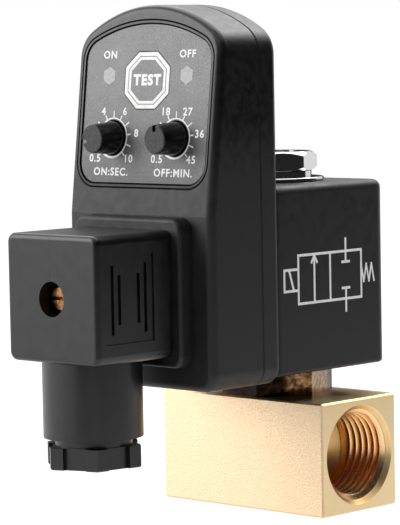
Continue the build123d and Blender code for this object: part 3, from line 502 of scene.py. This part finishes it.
def shade_painted_brass():
    """Dull brass of the hexagon, painted near black as shade and reflection all over but for the faces
    towards +X, left lighter as the lit side.
    """
    made, tree, shader = new_finish("shade_painted_brass", 0.15, metallic=1.0)
    cloud = grain(tree, 0.0012, detail=3.0)
    # painted light: the faces far along +X keep a paler brass, the rest is painted shade
    lit_side = graded(tree, along(tree, "X"), 0.0, 1.0, hex_lit_from, hex_lit_to)
    patches = graded(tree, cloud, 0.0, 1.0)
    hex_shade = blended(tree, patches, hex_shade_brown, hex_shade_black)
    hex_lit = blended(tree, patches, hex_lit_brass, hex_lit_cloud)
    tree.links.new(blended(tree, lit_side, hex_shade, hex_lit), shader.inputs["Base Color"])
    tree.links.new(graded(tree, cloud, 0.10, 0.24), shader.inputs["Roughness"])
    relief(tree, shader, cloud, 0.000006)
    return made


drawn_stainless = turned_metal(
    "drawn_stainless",
    (0.62, 0.61, 0.59),
    (0.52, 0.51, 0.50),
    size=0.0003,
    rough=(0.2, 0.34),
    stretch=(3.0, 3.0, 0.4),
)
winding_copper = turned_metal(
    "winding_copper",
    (0.72, 0.30, 0.12),
    (0.50, 0.18, 0.06),
    size=0.00018,
    rough=(0.25, 0.4),
    stretch=(8.0, 8.0, 1.0),
    depth=0.00004,
)
ring_rubber = moulded(
    "ring_rubber",
    (0.012, 0.012, 0.012),
    (0.022, 0.021, 0.020),
    size=0.0003,
    rough=(0.5, 0.7),
    depth=0.00001,
)
dress(["tube_base"], shade_painted_brass())
dress(["guide_tube", "fixed_core", "plunger", "plunger_spring"], drawn_stainless)
dress(["shading_ring", "winding"], winding_copper)
dress(["tube_o_ring", "plunger_seal", "timer_gasket", "plug_gasket", "screw_o_ring"], ring_rubber)

# in the valve the return spring shortens as the plunger rises; here a coil of round wire stands for its
# CAD node
spring_wire = 0.0005
spring_turns = 4
spring_corners = 10
spring_steps = 48 * spring_turns


def wound_spring():
    """A coil of round wire in the spring's place, riding with the plunger."""
    low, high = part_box("plunger_spring")
    height = high.z - low.z
    coil_radius = high.x - spring_wire / 2
    wire = bmesh.new()
    corners = []
    for number in range(spring_corners):
        angle = tau * number / spring_corners
        across = coil_radius + spring_wire / 2 * cos(angle)
        corners.append(wire.verts.new((across, 0.0, low.z + spring_wire / 2 * (1 + sin(angle)))))
    profile = wire.faces.new(corners)
    bmesh.ops.spin(
        wire,
        geom=[profile, *profile.edges, *profile.verts],
        cent=(0.0, 0.0, 0.0),
        axis=(0.0, 0.0, 1.0),
        dvec=(0.0, 0.0, (height - spring_wire) / spring_steps),
        angle=tau * spring_turns,
        steps=spring_steps,
    )
    bmesh.ops.recalc_face_normals(wire, faces=wire.faces)
    made = finished_piece("wound_spring", wire, "plunger_group", drawn_stainless)
    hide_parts("plunger_spring")
    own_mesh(made)


wound_spring()

# ---------------------------------------------------------------- coil
# The winding and its steel frame sit in a casing of black moulded resin with a satin skin.
# The front carries the three flat blades, and a white valve sign is printed on the right.
coil_resin = moulded(
    "coil_resin",
    (0.005, 0.005, 0.0055),
    (0.009, 0.009, 0.0095),
    size=0.00022,
    rough=(0.40, 0.50),
    depth=0.00002,
    Specular_IOR_Level=0.4,
)
pressed_steel = turned_metal(
    "pressed_steel",
    (0.36, 0.36, 0.37),
    (0.24, 0.24, 0.25),
    size=0.001,
    rough=(0.35, 0.5),
)
tin_plate = turned_metal(
    "tin_plate",
    (0.72, 0.70, 0.64),
    (0.60, 0.58, 0.52),
    size=0.0006,
    rough=(0.25, 0.4),
)
natural_nylon = moulded(
    "natural_nylon",
    (0.62, 0.60, 0.54),
    (0.70, 0.68, 0.62),
    size=0.0003,
    rough=(0.4, 0.5),
    depth=0.00001,
)
dress(["coil_casing"], coil_resin)
dress(["coil_frame"], pressed_steel)
dress(["coil_terminals", "socket_clips", "timer_blades", "plug_clips"], tin_plate)
dress(["bobbin", "gland_washer"], natural_nylon)

ink_thickness = 0.00003
ink_sink = 0.00001
ink_full = (0.93, 0.93, 0.92)
ink_thin = tuple(0.88 * tone for tone in ink_full)
stroke_lift = 0.0000007
stroke_levels = 12
stroke_faces = 6
sign_line = 0.0006
sign_square = 0.0110
arrow_half_width = 0.0009
arrow_back = 0.0018
arrow_tip = 0.0003
shut_share = 0.55
shut_half_width = 0.0012
port_lead = 0.0028
solenoid_width = 0.0048
solenoid_half_height = 0.0024
slant_from = 0.0032
slant_to = 0.0016
zigzag_strokes = 5
zigzag_length = 0.0046
zigzag_half_height = 0.0020
zigzag_line = 0.8 * sign_line


def printed_ink():
    """Screen-printed white ink: nearly even, a little thin in places."""
    made, tree, shader = new_finish("white_ink", 0.55)
    patches = graded(tree, grain(tree, 0.0007, detail=3.0), 0.0, 1.0)
    tree.links.new(blended(tree, patches, ink_full, ink_thin), shader.inputs["Base Color"])
    return made


white_ink = printed_ink()


def ink_bar(shape, start, end, width, place):
    """A straight printed stroke between two points of a flat print, laid at its place."""
    middle = ((start[0] + end[0]) / 2, (start[1] + end[1]) / 2)
    run = Vector((end[0] - start[0], end[1] - start[1]))
    # strokes that cross lie at slightly different heights
    lift = stroke_lift * (len(shape.faces) // stroke_faces % stroke_levels)
    lay = (
        Matrix.Translation((*middle, ink_thickness / 2 - ink_sink + lift))
        @ Matrix.Rotation(Vector((1.0, 0.0)).angle_signed(run), 4, "Z").inverted()
        @ Matrix.Diagonal((run.length + width, width, ink_thickness, 1.0))
    )
    bmesh.ops.create_cube(shape, size=1.0, matrix=place @ lay)


def ink_loop(shape, corners, width, place):
    """A closed line of printed strokes."""
    for start, end in zip(corners, corners[1:] + corners[:1]):
        ink_bar(shape, start, end, width, place)


def coil_sign():
    """The usual sign of a spring-closed two-port valve with a solenoid, in white lines."""
    coil_low, coil_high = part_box("coil_casing")
    centre = Vector((coil_high.x, (coil_low.y + coil_high.y) / 2, (coil_low.z + coil_high.z) / 2))
    # the sign reads along +Y and up, and faces out of the right-hand side
    facing_right = Matrix(((0, 0, 1, 0), (1, 0, 0, 0), (0, 1, 0, 0), (0, 0, 0, 1)))
    place = Matrix.Translation(centre) @ facing_right
    half = sign_square / 2
    sign = bmesh.new()
    for left in (-sign_square, 0.0):
        right = left + sign_square
        square = [(left, -half), (right, -half), (right, half), (left, half)]
        ink_loop(sign, square, sign_line, place)
    # flow arrow in the left square, shut ports in the right one
    ink_bar(sign, (-half, -half), (-half, half), sign_line, place)
    for side in (-1, 1):
        barb = (-half + side * arrow_half_width, half - arrow_back)
        ink_bar(sign, barb, (-half, half - arrow_tip), sign_line, place)
        edge = side * half
        shut = edge * shut_share
        ink_bar(sign, (half, edge), (half, shut), sign_line, place)
        ink_bar(sign, (half - shut_half_width, shut), (half + shut_half_width, shut), sign_line, place)
        ink_bar(sign, (half, edge), (half, edge + side * port_lead), sign_line, place)
    # solenoid box on the left with its slanted line, spring on the right
    right = -sign_square
    left = right - solenoid_width
    low = -solenoid_half_height
    high = solenoid_half_height
    ink_loop(sign, [(left, low), (right, low), (right, high), (left, high)], sign_line, place)
    ink_bar(sign, (right - slant_from, high), (right - slant_to, low), sign_line, place)
    step = zigzag_length / zigzag_strokes
    for stroke in range(zigzag_strokes):
        rise = zigzag_half_height if stroke % 2 else -zigzag_half_height
        x = sign_square + stroke * step
        ink_bar(sign, (x, -rise), (x + step, rise), zigzag_line, place)
    finished_piece("coil_sign", sign, "coil_and_timer", white_ink)


coil_sign()

# ---------------------------------------------------------------- washers and nut
# A plated washer, a spring lock washer and a bright hexagon nut hold the coil on its tube.
# The plating is chrome over nickel, with faint hairlines and no colour of its own.
bright_plate = turned_metal(
    "bright_plate",
    (0.74, 0.74, 0.75),
    (0.50, 0.50, 0.51),
    size=0.0005,
    rough=(0.06, 0.16),
    stretch=(1.0, 1.0, 0.3),
    depth=0.000002,
)
washer_clearance = 0.0002
washer_steps = 96
roll_share = 0.45
dress(["flat_washer", "lock_washer", "coil_nut", "clamp_screws", "case_screws"], bright_plate)


def rolled_washer():
    """The flat washer with its rims rolled round, in place of the plain one."""
    low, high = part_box("flat_washer")
    roll = roll_share * (high.z - low.z)
    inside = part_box("guide_tube")[1].x + washer_clearance
    outline = ((inside, low.z), (high.x, low.z), (high.x, high.z), (inside, high.z))
    ring = bmesh.new()
    section = ring.faces.new([ring.verts.new((radius, 0.0, z)) for radius, z in outline])
    bmesh.ops.spin(
        ring,
        geom=[*section.edges, *section.verts],
        cent=(0.0, 0.0, 0.0),
        axis=(0.0, 0.0, 1.0),
        angle=tau,
        steps=washer_steps,
        use_merge=True,
    )
    ring.faces.remove(section)
    bmesh.ops.remove_doubles(ring, verts=ring.verts, dist=1e-7)
    rims = [e for e in ring.edges if len(e.link_faces) == 2 and e.calc_face_angle() > 1.0]
    bmesh.ops.bevel(ring, geom=rims, offset=roll, affect="EDGES", segments=4, profile=0.5, material=-1)
    bmesh.ops.recalc_face_normals(ring, faces=ring.faces)
    made = finished_piece("rolled_washer", ring, "valve", bright_plate, crease=60.0)
    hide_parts("flat_washer")


rolled_washer()

# ---------------------------------------------------------------- timer housing
# Two shells of black ABS with a semi-gloss, finely sparked skin meet at the seam, and four
# long screws draw them together. The leaning upper face is framed by a narrow groove.
abs_black = (0.004, 0.004, 0.0045)
abs_mottle = (0.007, 0.007, 0.0075)
shell_roughness = 0.28
mottle_roughness = 0.08
foot_roughness = 0.22
foot_share = 0.4
film_low, film_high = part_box("timer_panel")
film_height = film_high.z - film_low.z


def sparked_plastic():
    """Black ABS, semi-gloss at the top and duller towards the foot of the leaning face."""
    made, tree, shader = new_finish("timer_plastic", 0.32)
    mottle = graded(tree, grain(tree, 0.002, detail=3.0), 0.0, 1.0)
    fine = grain(tree, 0.00016)
    tree.links.new(blended(tree, mottle, abs_black, abs_mottle), shader.inputs["Base Color"])
    dull_top = film_low.z + foot_share * film_height
    foot = graded(tree, along(tree, "Z"), foot_roughness, 0.0, film_low.z, dull_top)
    skin_roughness = combined(tree, "ADD", foot, combined(tree, "MULTIPLY", mottle, mottle_roughness))
    tree.links.new(combined(tree, "ADD", skin_roughness, shell_roughness), shader.inputs["Roughness"])
    relief(tree, shader, fine, 0.000012)
    return made


dress(["timer_rear_shell", "timer_front_shell"], sparked_plastic())

# ---------------------------------------------------------------- face film
# The dials' film is polycarbonate printed on its back in dark grey, with a fine velvet grain whose
# bright specks are painted glints, and painted light makes its upper part paler. It lies in a shallow
# recess; black strips laid in the gap round it and in the groove outside are painted shade.
film_thickness = 0.0004
film_lean = (film_high.y - film_thickness - film_low.y) / film_height
# painted light: the film's upper part and its glints are paler, as the lamp above lights the leaning face
lit_upper_grey = (0.080, 0.080, 0.082)
lit_upper_glint = (0.25, 0.25, 0.255)
shaded_lower_grey = (0.022, 0.022, 0.023)
shaded_lower_glint = (0.085, 0.085, 0.087)
lit_share = 0.6
# painted shade: near-black strips stand for the shade in the gap round the film and in the groove outside
# it
shade_line_black = (0.002, 0.002, 0.002)
shade_line_mottle = (0.005, 0.005, 0.005)
line_thickness = 0.00028
gap_shade_edges = (0.00002, 0.00038)
gap_shade_top = -0.00004
groove_shade_edges = (0.00087, 0.00123)
groove_shade_top = 0.00016


def velvet_film():
    """Dark grey film with bright specks as painted glints, and painted light that makes it paler towards
    its top.
    """
    made, tree, shader = new_finish("velvet_film", 0.42, Specular_IOR_Level=0.7)
    fine = grain(tree, 0.00018, detail=3.0)
    cloud = grain(tree, 0.003)
    bright = graded(tree, fine, 0.0, 1.0, 0.4, 0.7)
    upper = blended(tree, bright, lit_upper_grey, lit_upper_glint)
    lower = blended(tree, bright, shaded_lower_grey, shaded_lower_glint)
    lit_from_height = film_low.z + lit_share * film_height
    # painted light: the film turns paler from its foot upwards
    painted_light_rise = graded(tree, along(tree, "Z"), 0.0, 1.0, film_low.z, lit_from_height)
    tree.links.new(blended(tree, painted_light_rise, lower, upper), shader.inputs["Base Color"])
    tree.links.new(graded(tree, cloud, 0.38, 0.45), shader.inputs["Roughness"])
    relief(tree, shader, fine, 0.00005)
    return made


dress(["timer_panel", "test_button"], velvet_film())


def film_place(x, z):
    """Place of a print centred at x and z: it lies on the film, level across and leaning back."""
    rise = hypot(1.0, film_lean)
    up = Vector((0.0, film_lean / rise, 1.0 / rise))
    out = Vector((1.0, 0.0, 0.0)).cross(up)
    turn = Matrix((Vector((1.0, 0.0, 0.0)), up, out)).transposed().to_4x4()
    return Matrix.Translation((x, film_low.y + (z - film_low.z) * film_lean, z)) @ turn


def shade_line_finish():
    """Near black with hardly any shine, for lines of painted shade."""
    made, tree, shader = new_finish("painted_shade_black", 0.9, Specular_IOR_Level=0.1)
    tone = graded(tree, grain(tree, 0.0005), 0.0, 1.0)
    tree.links.new(blended(tree, tone, shade_line_black, shade_line_mottle), shader.inputs["Base Color"])
    return made


def film_outline(step):
    """The film's outer edge on the film's own plane, moved outwards by a step in metres."""
    to_film = film_place(0.0, 0.0).inverted()
    sheet = bmesh.new()
    sheet.from_mesh(nodes["timer_panel"].data)
    bmesh.ops.remove_doubles(sheet, verts=sheet.verts, dist=1e-7)
    bmesh.ops.transform(sheet, verts=sheet.verts, matrix=to_film)
    sheet.normal_update()
    # only the sheet's outer face is kept, and its rim is walked round from its highest corner
    bmesh.ops.delete(sheet, geom=[f for f in sheet.faces if f.normal.z < 0.99], context="FACES")
    rim = [e for e in sheet.edges if e.is_boundary]
    walk = [max((v for e in rim for v in e.verts), key=lambda v: v.co.y)]
    link = [e for e in walk[0].link_edges if e.is_boundary][0]
    while link.other_vert(walk[-1]) is not walk[0]:
        walk.append(link.other_vert(walk[-1]))
        link = [e for e in walk[-1].link_edges if e.is_boundary and e is not link][0]
    corners = [Vector(v.co[:2]) for v in walk]
    sheet.free()
    middle = sum(corners, Vector((0.0, 0.0))) / len(corners)
    moved = []
    for before, here, after in zip(corners[-1:] + corners[:-1], corners, corners[1:] + corners[:1]):
        run_in = (here - before).normalized()
        run_out = (after - here).normalized()
        side = (run_in + run_out).orthogonal().normalized()
        if side.dot(here - middle) < 0.0:
            side.negate()
        moved.append(here + side * step / abs(side.dot(run_in.orthogonal())))
    return [tuple(corner) for corner in moved]


def thicken(shape, flat, place, thickness):
    """Gives flat faces their thickness, into the surface they lie on."""
    walls = bmesh.ops.extrude_face_region(shape, geom=flat)
    lowered = [g for g in walls["geom"] if isinstance(g, bmesh.types.BMVert)]
    down = place.to_3x3() @ Vector((0.0, 0.0, -thickness))
    bmesh.ops.translate(shape, verts=lowered, vec=down)


def add_band(shape, outer, inner, place, top=ink_thickness - ink_sink, thickness=ink_thickness):
    """Adds a flat band between two closed outlines with as many corners."""
    rings = []
    for outline in (outer, inner):
        corners = [shape.verts.new(place @ Vector((x, y, top))) for x, y in outline]
        rings += [shape.edges.new(pair) for pair in zip(corners, corners[1:] + corners[:1])]
    flat = bmesh.ops.bridge_loops(shape, edges=rings)
    thicken(shape, flat["faces"], place, thickness)


def face_line(name, edges, top, finish):
    """A black line of painted shade round the film, between two distances from the film's edge."""
    inner, outer = (film_outline(step) for step in edges)
    line = bmesh.new()
    add_band(line, outer, inner, film_place(0.0, 0.0), top, line_thickness)
    bmesh.ops.recalc_face_normals(line, faces=line.faces)
    finished_piece(name, line, "coil_and_timer", finish)


# painted shade: two black strips lie in the gap round the film and in the groove outside it, where there
# is only shade
painted_shade_black = shade_line_finish()
face_line("gap_shade_line", gap_shade_edges, gap_shade_top, painted_shade_black)
face_line("groove_shade_line", groove_shade_edges, groove_shade_top, painted_shade_black)

# ---------------------------------------------------------------- dial scales
# White print on the film: each dial has a ring that is thicker towards the start of its travel,
# eleven ticks over 270 degrees and six figures. The on-time is in seconds, the off-time in minutes.
ring_radius = 0.00445
ring_line = 0.00028
ring_swell = 0.00022
ring_segments = 72
scale_start = 225.0
scale_sweep = 270.0
tick_count = 11
tick_gap = 0.0003
long_tick = 0.00115
short_tick = 0.0007
tick_width = 0.00032
figure_size = 0.0024
figure_width = 1.08
figure_spacing = 1.16
figure_swell = 0.00006
figure_reach = (0.0074, 0.0066)
unit_rise = 0.0023
state_rise = 0.0025


def add_words(shape, words, size, place, swell=figure_swell):
    """Adds raised lettering to a print, centred on its place."""
    curve = bpy.data.curves.new("words", "FONT")
    curve.body = words
    curve.size = size
    curve.align_x = "CENTER"
    curve.align_y = "CENTER"
    curve.offset = swell
    curve.space_character = figure_spacing
    curve.extrude = ink_thickness / 2
    curve.resolution_u = 3
    text = bpy.data.objects.new("words", curve)
    scene.collection.objects.link(text)
    bpy.context.view_layer.update()
    shown = text.evaluated_get(bpy.context.evaluated_depsgraph_get())
    flat = bpy.data.meshes.new_from_object(shown)
    bpy.data.objects.remove(text)
    rise = Matrix.Translation((0.0, 0.0, ink_thickness / 2 - ink_sink))
    flat.transform(place @ rise @ Matrix.Diagonal((figure_width, 1.0, 1.0, 1.0)))
    shape.from_mesh(flat)
    bpy.data.meshes.remove(flat)
    bmesh.ops.remove_doubles(shape, verts=shape.verts, dist=1e-7)


def add_ring(shape, radius, line, swell, lean_to, place):
    """Adds a printed ring whose line swells towards one angle."""
    centred = place @ Matrix.Translation((0.0, 0.0, ink_thickness - ink_sink))
    shifted = centred @ Matrix.Translation((-swell / 2 * cos(lean_to), -swell / 2 * sin(lean_to), 0.0))
    corners = []
    for reach, middle in ((radius - line / 2 - swell / 2, shifted), (radius + line / 2, centred)):
        circle = bmesh.ops.create_circle(shape, segments=ring_segments, radius=reach, matrix=middle)
        corners += circle["verts"]
    loops = [e for e in shape.edges if e.verts[0] in corners]
    flat = bmesh.ops.bridge_loops(shape, edges=loops)
    thicken(shape, flat["faces"], place, ink_thickness)


def centre_of(name):
    """Middle of a CAD node's box."""
    low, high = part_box(name)
    return (low + high) / 2


def dial_scale(name, knob, figures):
    """Ring, ticks and figures round one knob."""
    middle = centre_of(knob)
    place = film_place(middle.x, middle.z)
    scale = bmesh.new()
    add_ring(scale, ring_radius, ring_line, ring_swell, radians(scale_start), place)
    for tick in range(tick_count):
        angle = radians(scale_start - tick * scale_sweep / (tick_count - 1))
        reach = ring_radius + tick_gap + (long_tick if tick % 2 else short_tick)
        ends = [(r * cos(angle), r * sin(angle)) for r in (ring_radius + tick_gap, reach)]
        ink_bar(scale, *ends, tick_width, place)
    for number, figure in enumerate(figures):
        angle = radians(scale_start - number * scale_sweep / (len(figures) - 1))
        spot = Matrix.Translation((figure_reach[0] * cos(angle), figure_reach[1] * sin(angle), 0.0))
        add_words(scale, figure, figure_size, place @ spot)
    bmesh.ops.recalc_face_normals(scale, faces=scale.faces)
    finished_piece(name, scale, "coil_and_timer", white_ink)


dial_scale("scale_on", "knob_on", ("0.5", "2", "4", "6", "8", "10"))
dial_scale("scale_off", "knob_off", ("0.5", "9", "18", "27", "36", "45"))

# captions under the dials and over the lenses
captions = bmesh.new()
caption_rows = (
    ("knob_on", "lens_on", "ON:SEC.", "ON"),
    ("knob_off", "lens_off", "OFF:MIN.", "OFF"),
)
for knob, lens_node, unit, state in caption_rows:
    under_dial = film_place(centre_of(knob).x, film_low.z + unit_rise)
    add_words(captions, unit, figure_size, under_dial)
    over_lens = film_place(centre_of(lens_node).x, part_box(lens_node)[1].z + state_rise)
    add_words(captions, state, figure_size, over_lens)
bmesh.ops.recalc_face_normals(captions, faces=captions.faces)
finished_piece("captions", captions, "coil_and_timer", white_ink)

# ---------------------------------------------------------------- test key
# The octagonal key is a free cut-out of the film over a small switch. It is printed with two
# white octagons, a broad one and a thinner one in it, and with its name across the middle.
key_middle = 0.0997
key_half_width = 0.0069
key_half_height = 0.00635
key_half_flat = 0.00295
key_lines = ((0.985, 0.855), (0.82, 0.72))
key_text_size = 0.0032
key_text_swell = 0.00017


def key_octagon(scale):
    """Corners of the key's octagon, scaled about its middle."""
    flat = key_half_flat * scale
    wide = key_half_width * scale
    high = key_half_height * scale
    right = [(flat, high), (wide, flat), (wide, -flat), (flat, -high)]
    left = [(-x, y) for x, y in reversed(right)]
    return right + left


key_place = film_place(0.0, key_middle)
key_print = bmesh.new()
for outer_scale, inner_scale in key_lines:
    add_band(key_print, key_octagon(outer_scale), key_octagon(inner_scale), key_place)
add_words(key_print, "TEST", key_text_size, key_place, swell=key_text_swell)
bmesh.ops.recalc_face_normals(key_print, faces=key_print.faces)
finished_piece("key_print", key_print, "test_key", white_ink)

# ---------------------------------------------------------------- knobs and lenses
# The dial knobs are gloss black with a duller end, notched as pointers. The lenses are frosted
# acrylic over pale lamps, which are off.
knob_black = (0.004, 0.004, 0.004)
knob_end_dark = (0.020, 0.020, 0.020)
knob_end_pale = (0.060, 0.060, 0.061)
knob_end_skin = 0.00005
knob_end_fade = 0.0003


def knob_gloss():
    """Glossy sides and a duller, slightly lighter end face."""
    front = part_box("knob_on")[0].y
    made, tree, shader = new_finish("knob_gloss", 0.25, Specular_IOR_Level=0.3)
    fine = grain(tree, 0.0003, detail=3.0)
    end = graded(tree, along(tree, "Y"), 1.0, 0.0, front + knob_end_skin, front + knob_end_fade)
    mottled = blended(tree, graded(tree, fine, 0.0, 1.0), knob_end_dark, knob_end_pale)
    tree.links.new(blended(tree, end, knob_black, mottled), shader.inputs["Base Color"])
    tree.links.new(graded(tree, end, 0.22, 0.5, 0.0, 1.0), shader.inputs["Roughness"])
    relief(tree, shader, fine, 0.000006)
    return made


def frosted(name, colour, rough, clear):
    """Cloudy plastic that lets some light through."""
    made, tree, shader = new_finish(name, rough, Transmission_Weight=clear, IOR=1.49)
    haze = grain(tree, 0.0006, detail=3.0)
    thin = tuple(0.8 * tone for tone in colour)
    tree.links.new(blended(tree, graded(tree, haze, 0.0, 1.0), colour, thin), shader.inputs["Base Color"])
    relief(tree, shader, haze, 0.00003)
    return made


frosted_acrylic = frosted("frosted_acrylic", (0.62, 0.63, 0.62), rough=0.45, clear=0.3)
milky_epoxy = frosted("milky_epoxy", (0.80, 0.80, 0.77), rough=0.3, clear=0.2)
dress(["knob_on", "knob_off"], knob_gloss())
dress(["lens_on", "lens_off"], frosted_acrylic)
dress(["led_on", "led_off"], milky_epoxy)

# ---------------------------------------------------------------- electronics
# Behind the face a green board carries two potentiometers, the key's switch, the lamps and the
# mains parts. The plug-in side has a socket block with tin-plated clips.
solder_mask = moulded(
    "solder_mask",
    (0.010, 0.10, 0.035),
    (0.014, 0.14, 0.05),
    size=0.0006,
    rough=(0.25, 0.35),
    depth=0.000005,
)
blue_epoxy = moulded(
    "blue_epoxy",
    (0.03, 0.10, 0.36),
    (0.04, 0.13, 0.44),
    size=0.0006,
    rough=(0.25, 0.35),
    depth=0.00001,
)
chip_epoxy = moulded(
    "chip_epoxy",
    (0.014, 0.014, 0.015),
    (0.022, 0.022, 0.023),
    size=0.0002,
    rough=(0.5, 0.6),
    depth=0.00001,
)
dress(["timer_board"], solder_mask)
dress(["pot_on", "pot_off", "dropper_capacitor"], blue_epoxy)
dress(["test_switch", "switch_stem", "timer_chip", "triac"], chip_epoxy)

# ---------------------------------------------------------------- cable plug
# The plug's hood, insert and gland nut are moulded in glass-filled nylon, black with a satin sheen
# and one fine knit line down the front. A copper-plated screw holds it on, and a pale rubber seal
# closes its gland.
nylon_black = (0.004, 0.004, 0.0045)
nylon_cloud = (0.008, 0.008, 0.0085)
knit_depth = -0.9
knit_half_width = 0.00003
knit_fade = 0.00012
front_skin = 0.0001
front_fade = 0.0006


def filled_nylon():
    """Black nylon with a cloudy satin skin and one fine knit line down the front."""
    front_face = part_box("plug_housing")[0].y
    made, tree, shader = new_finish("filled_nylon", 0.32)
    cloud = grain(tree, 0.003, detail=4.0)
    fine = grain(tree, 0.00025)
    mottle = graded(tree, cloud, 0.0, 1.0)
    tree.links.new(blended(tree, mottle, nylon_black, nylon_cloud), shader.inputs["Base Color"])
    tree.links.new(graded(tree, cloud, 0.30, 0.34), shader.inputs["Roughness"])
    knit = graded(tree, away(tree, "X"), 1.0, 0.0, knit_half_width, knit_fade)
    front = graded(tree, along(tree, "Y"), 1.0, 0.0, front_face + front_skin, front_face + front_fade)
    line = combined(tree, "MULTIPLY", combined(tree, "MULTIPLY", knit, front), knit_depth)
    skin_grain = combined(tree, "MULTIPLY", fine, 0.5)
    relief(tree, shader, combined(tree, "ADD", line, skin_grain), 0.00003)
    return made


copper_plate = turned_metal(
    "copper_plate",
    (0.62, 0.30, 0.13),
    (0.05, 0.02, 0.01),
    size=0.0007,
    rough=(0.14, 0.3),
)
seal_rubber = moulded(
    "seal_rubber",
    (0.50, 0.48, 0.44),
    (0.58, 0.56, 0.51),
    size=0.0004,
    rough=(0.55, 0.7),
    depth=0.00001,
)
dress(["plug_housing", "plug_insert", "gland_nut", "socket_block", "blade_carrier"], filled_nylon())
dress(["plug_screw"], copper_plate)
dress(["gland_seal"], seal_rubber)
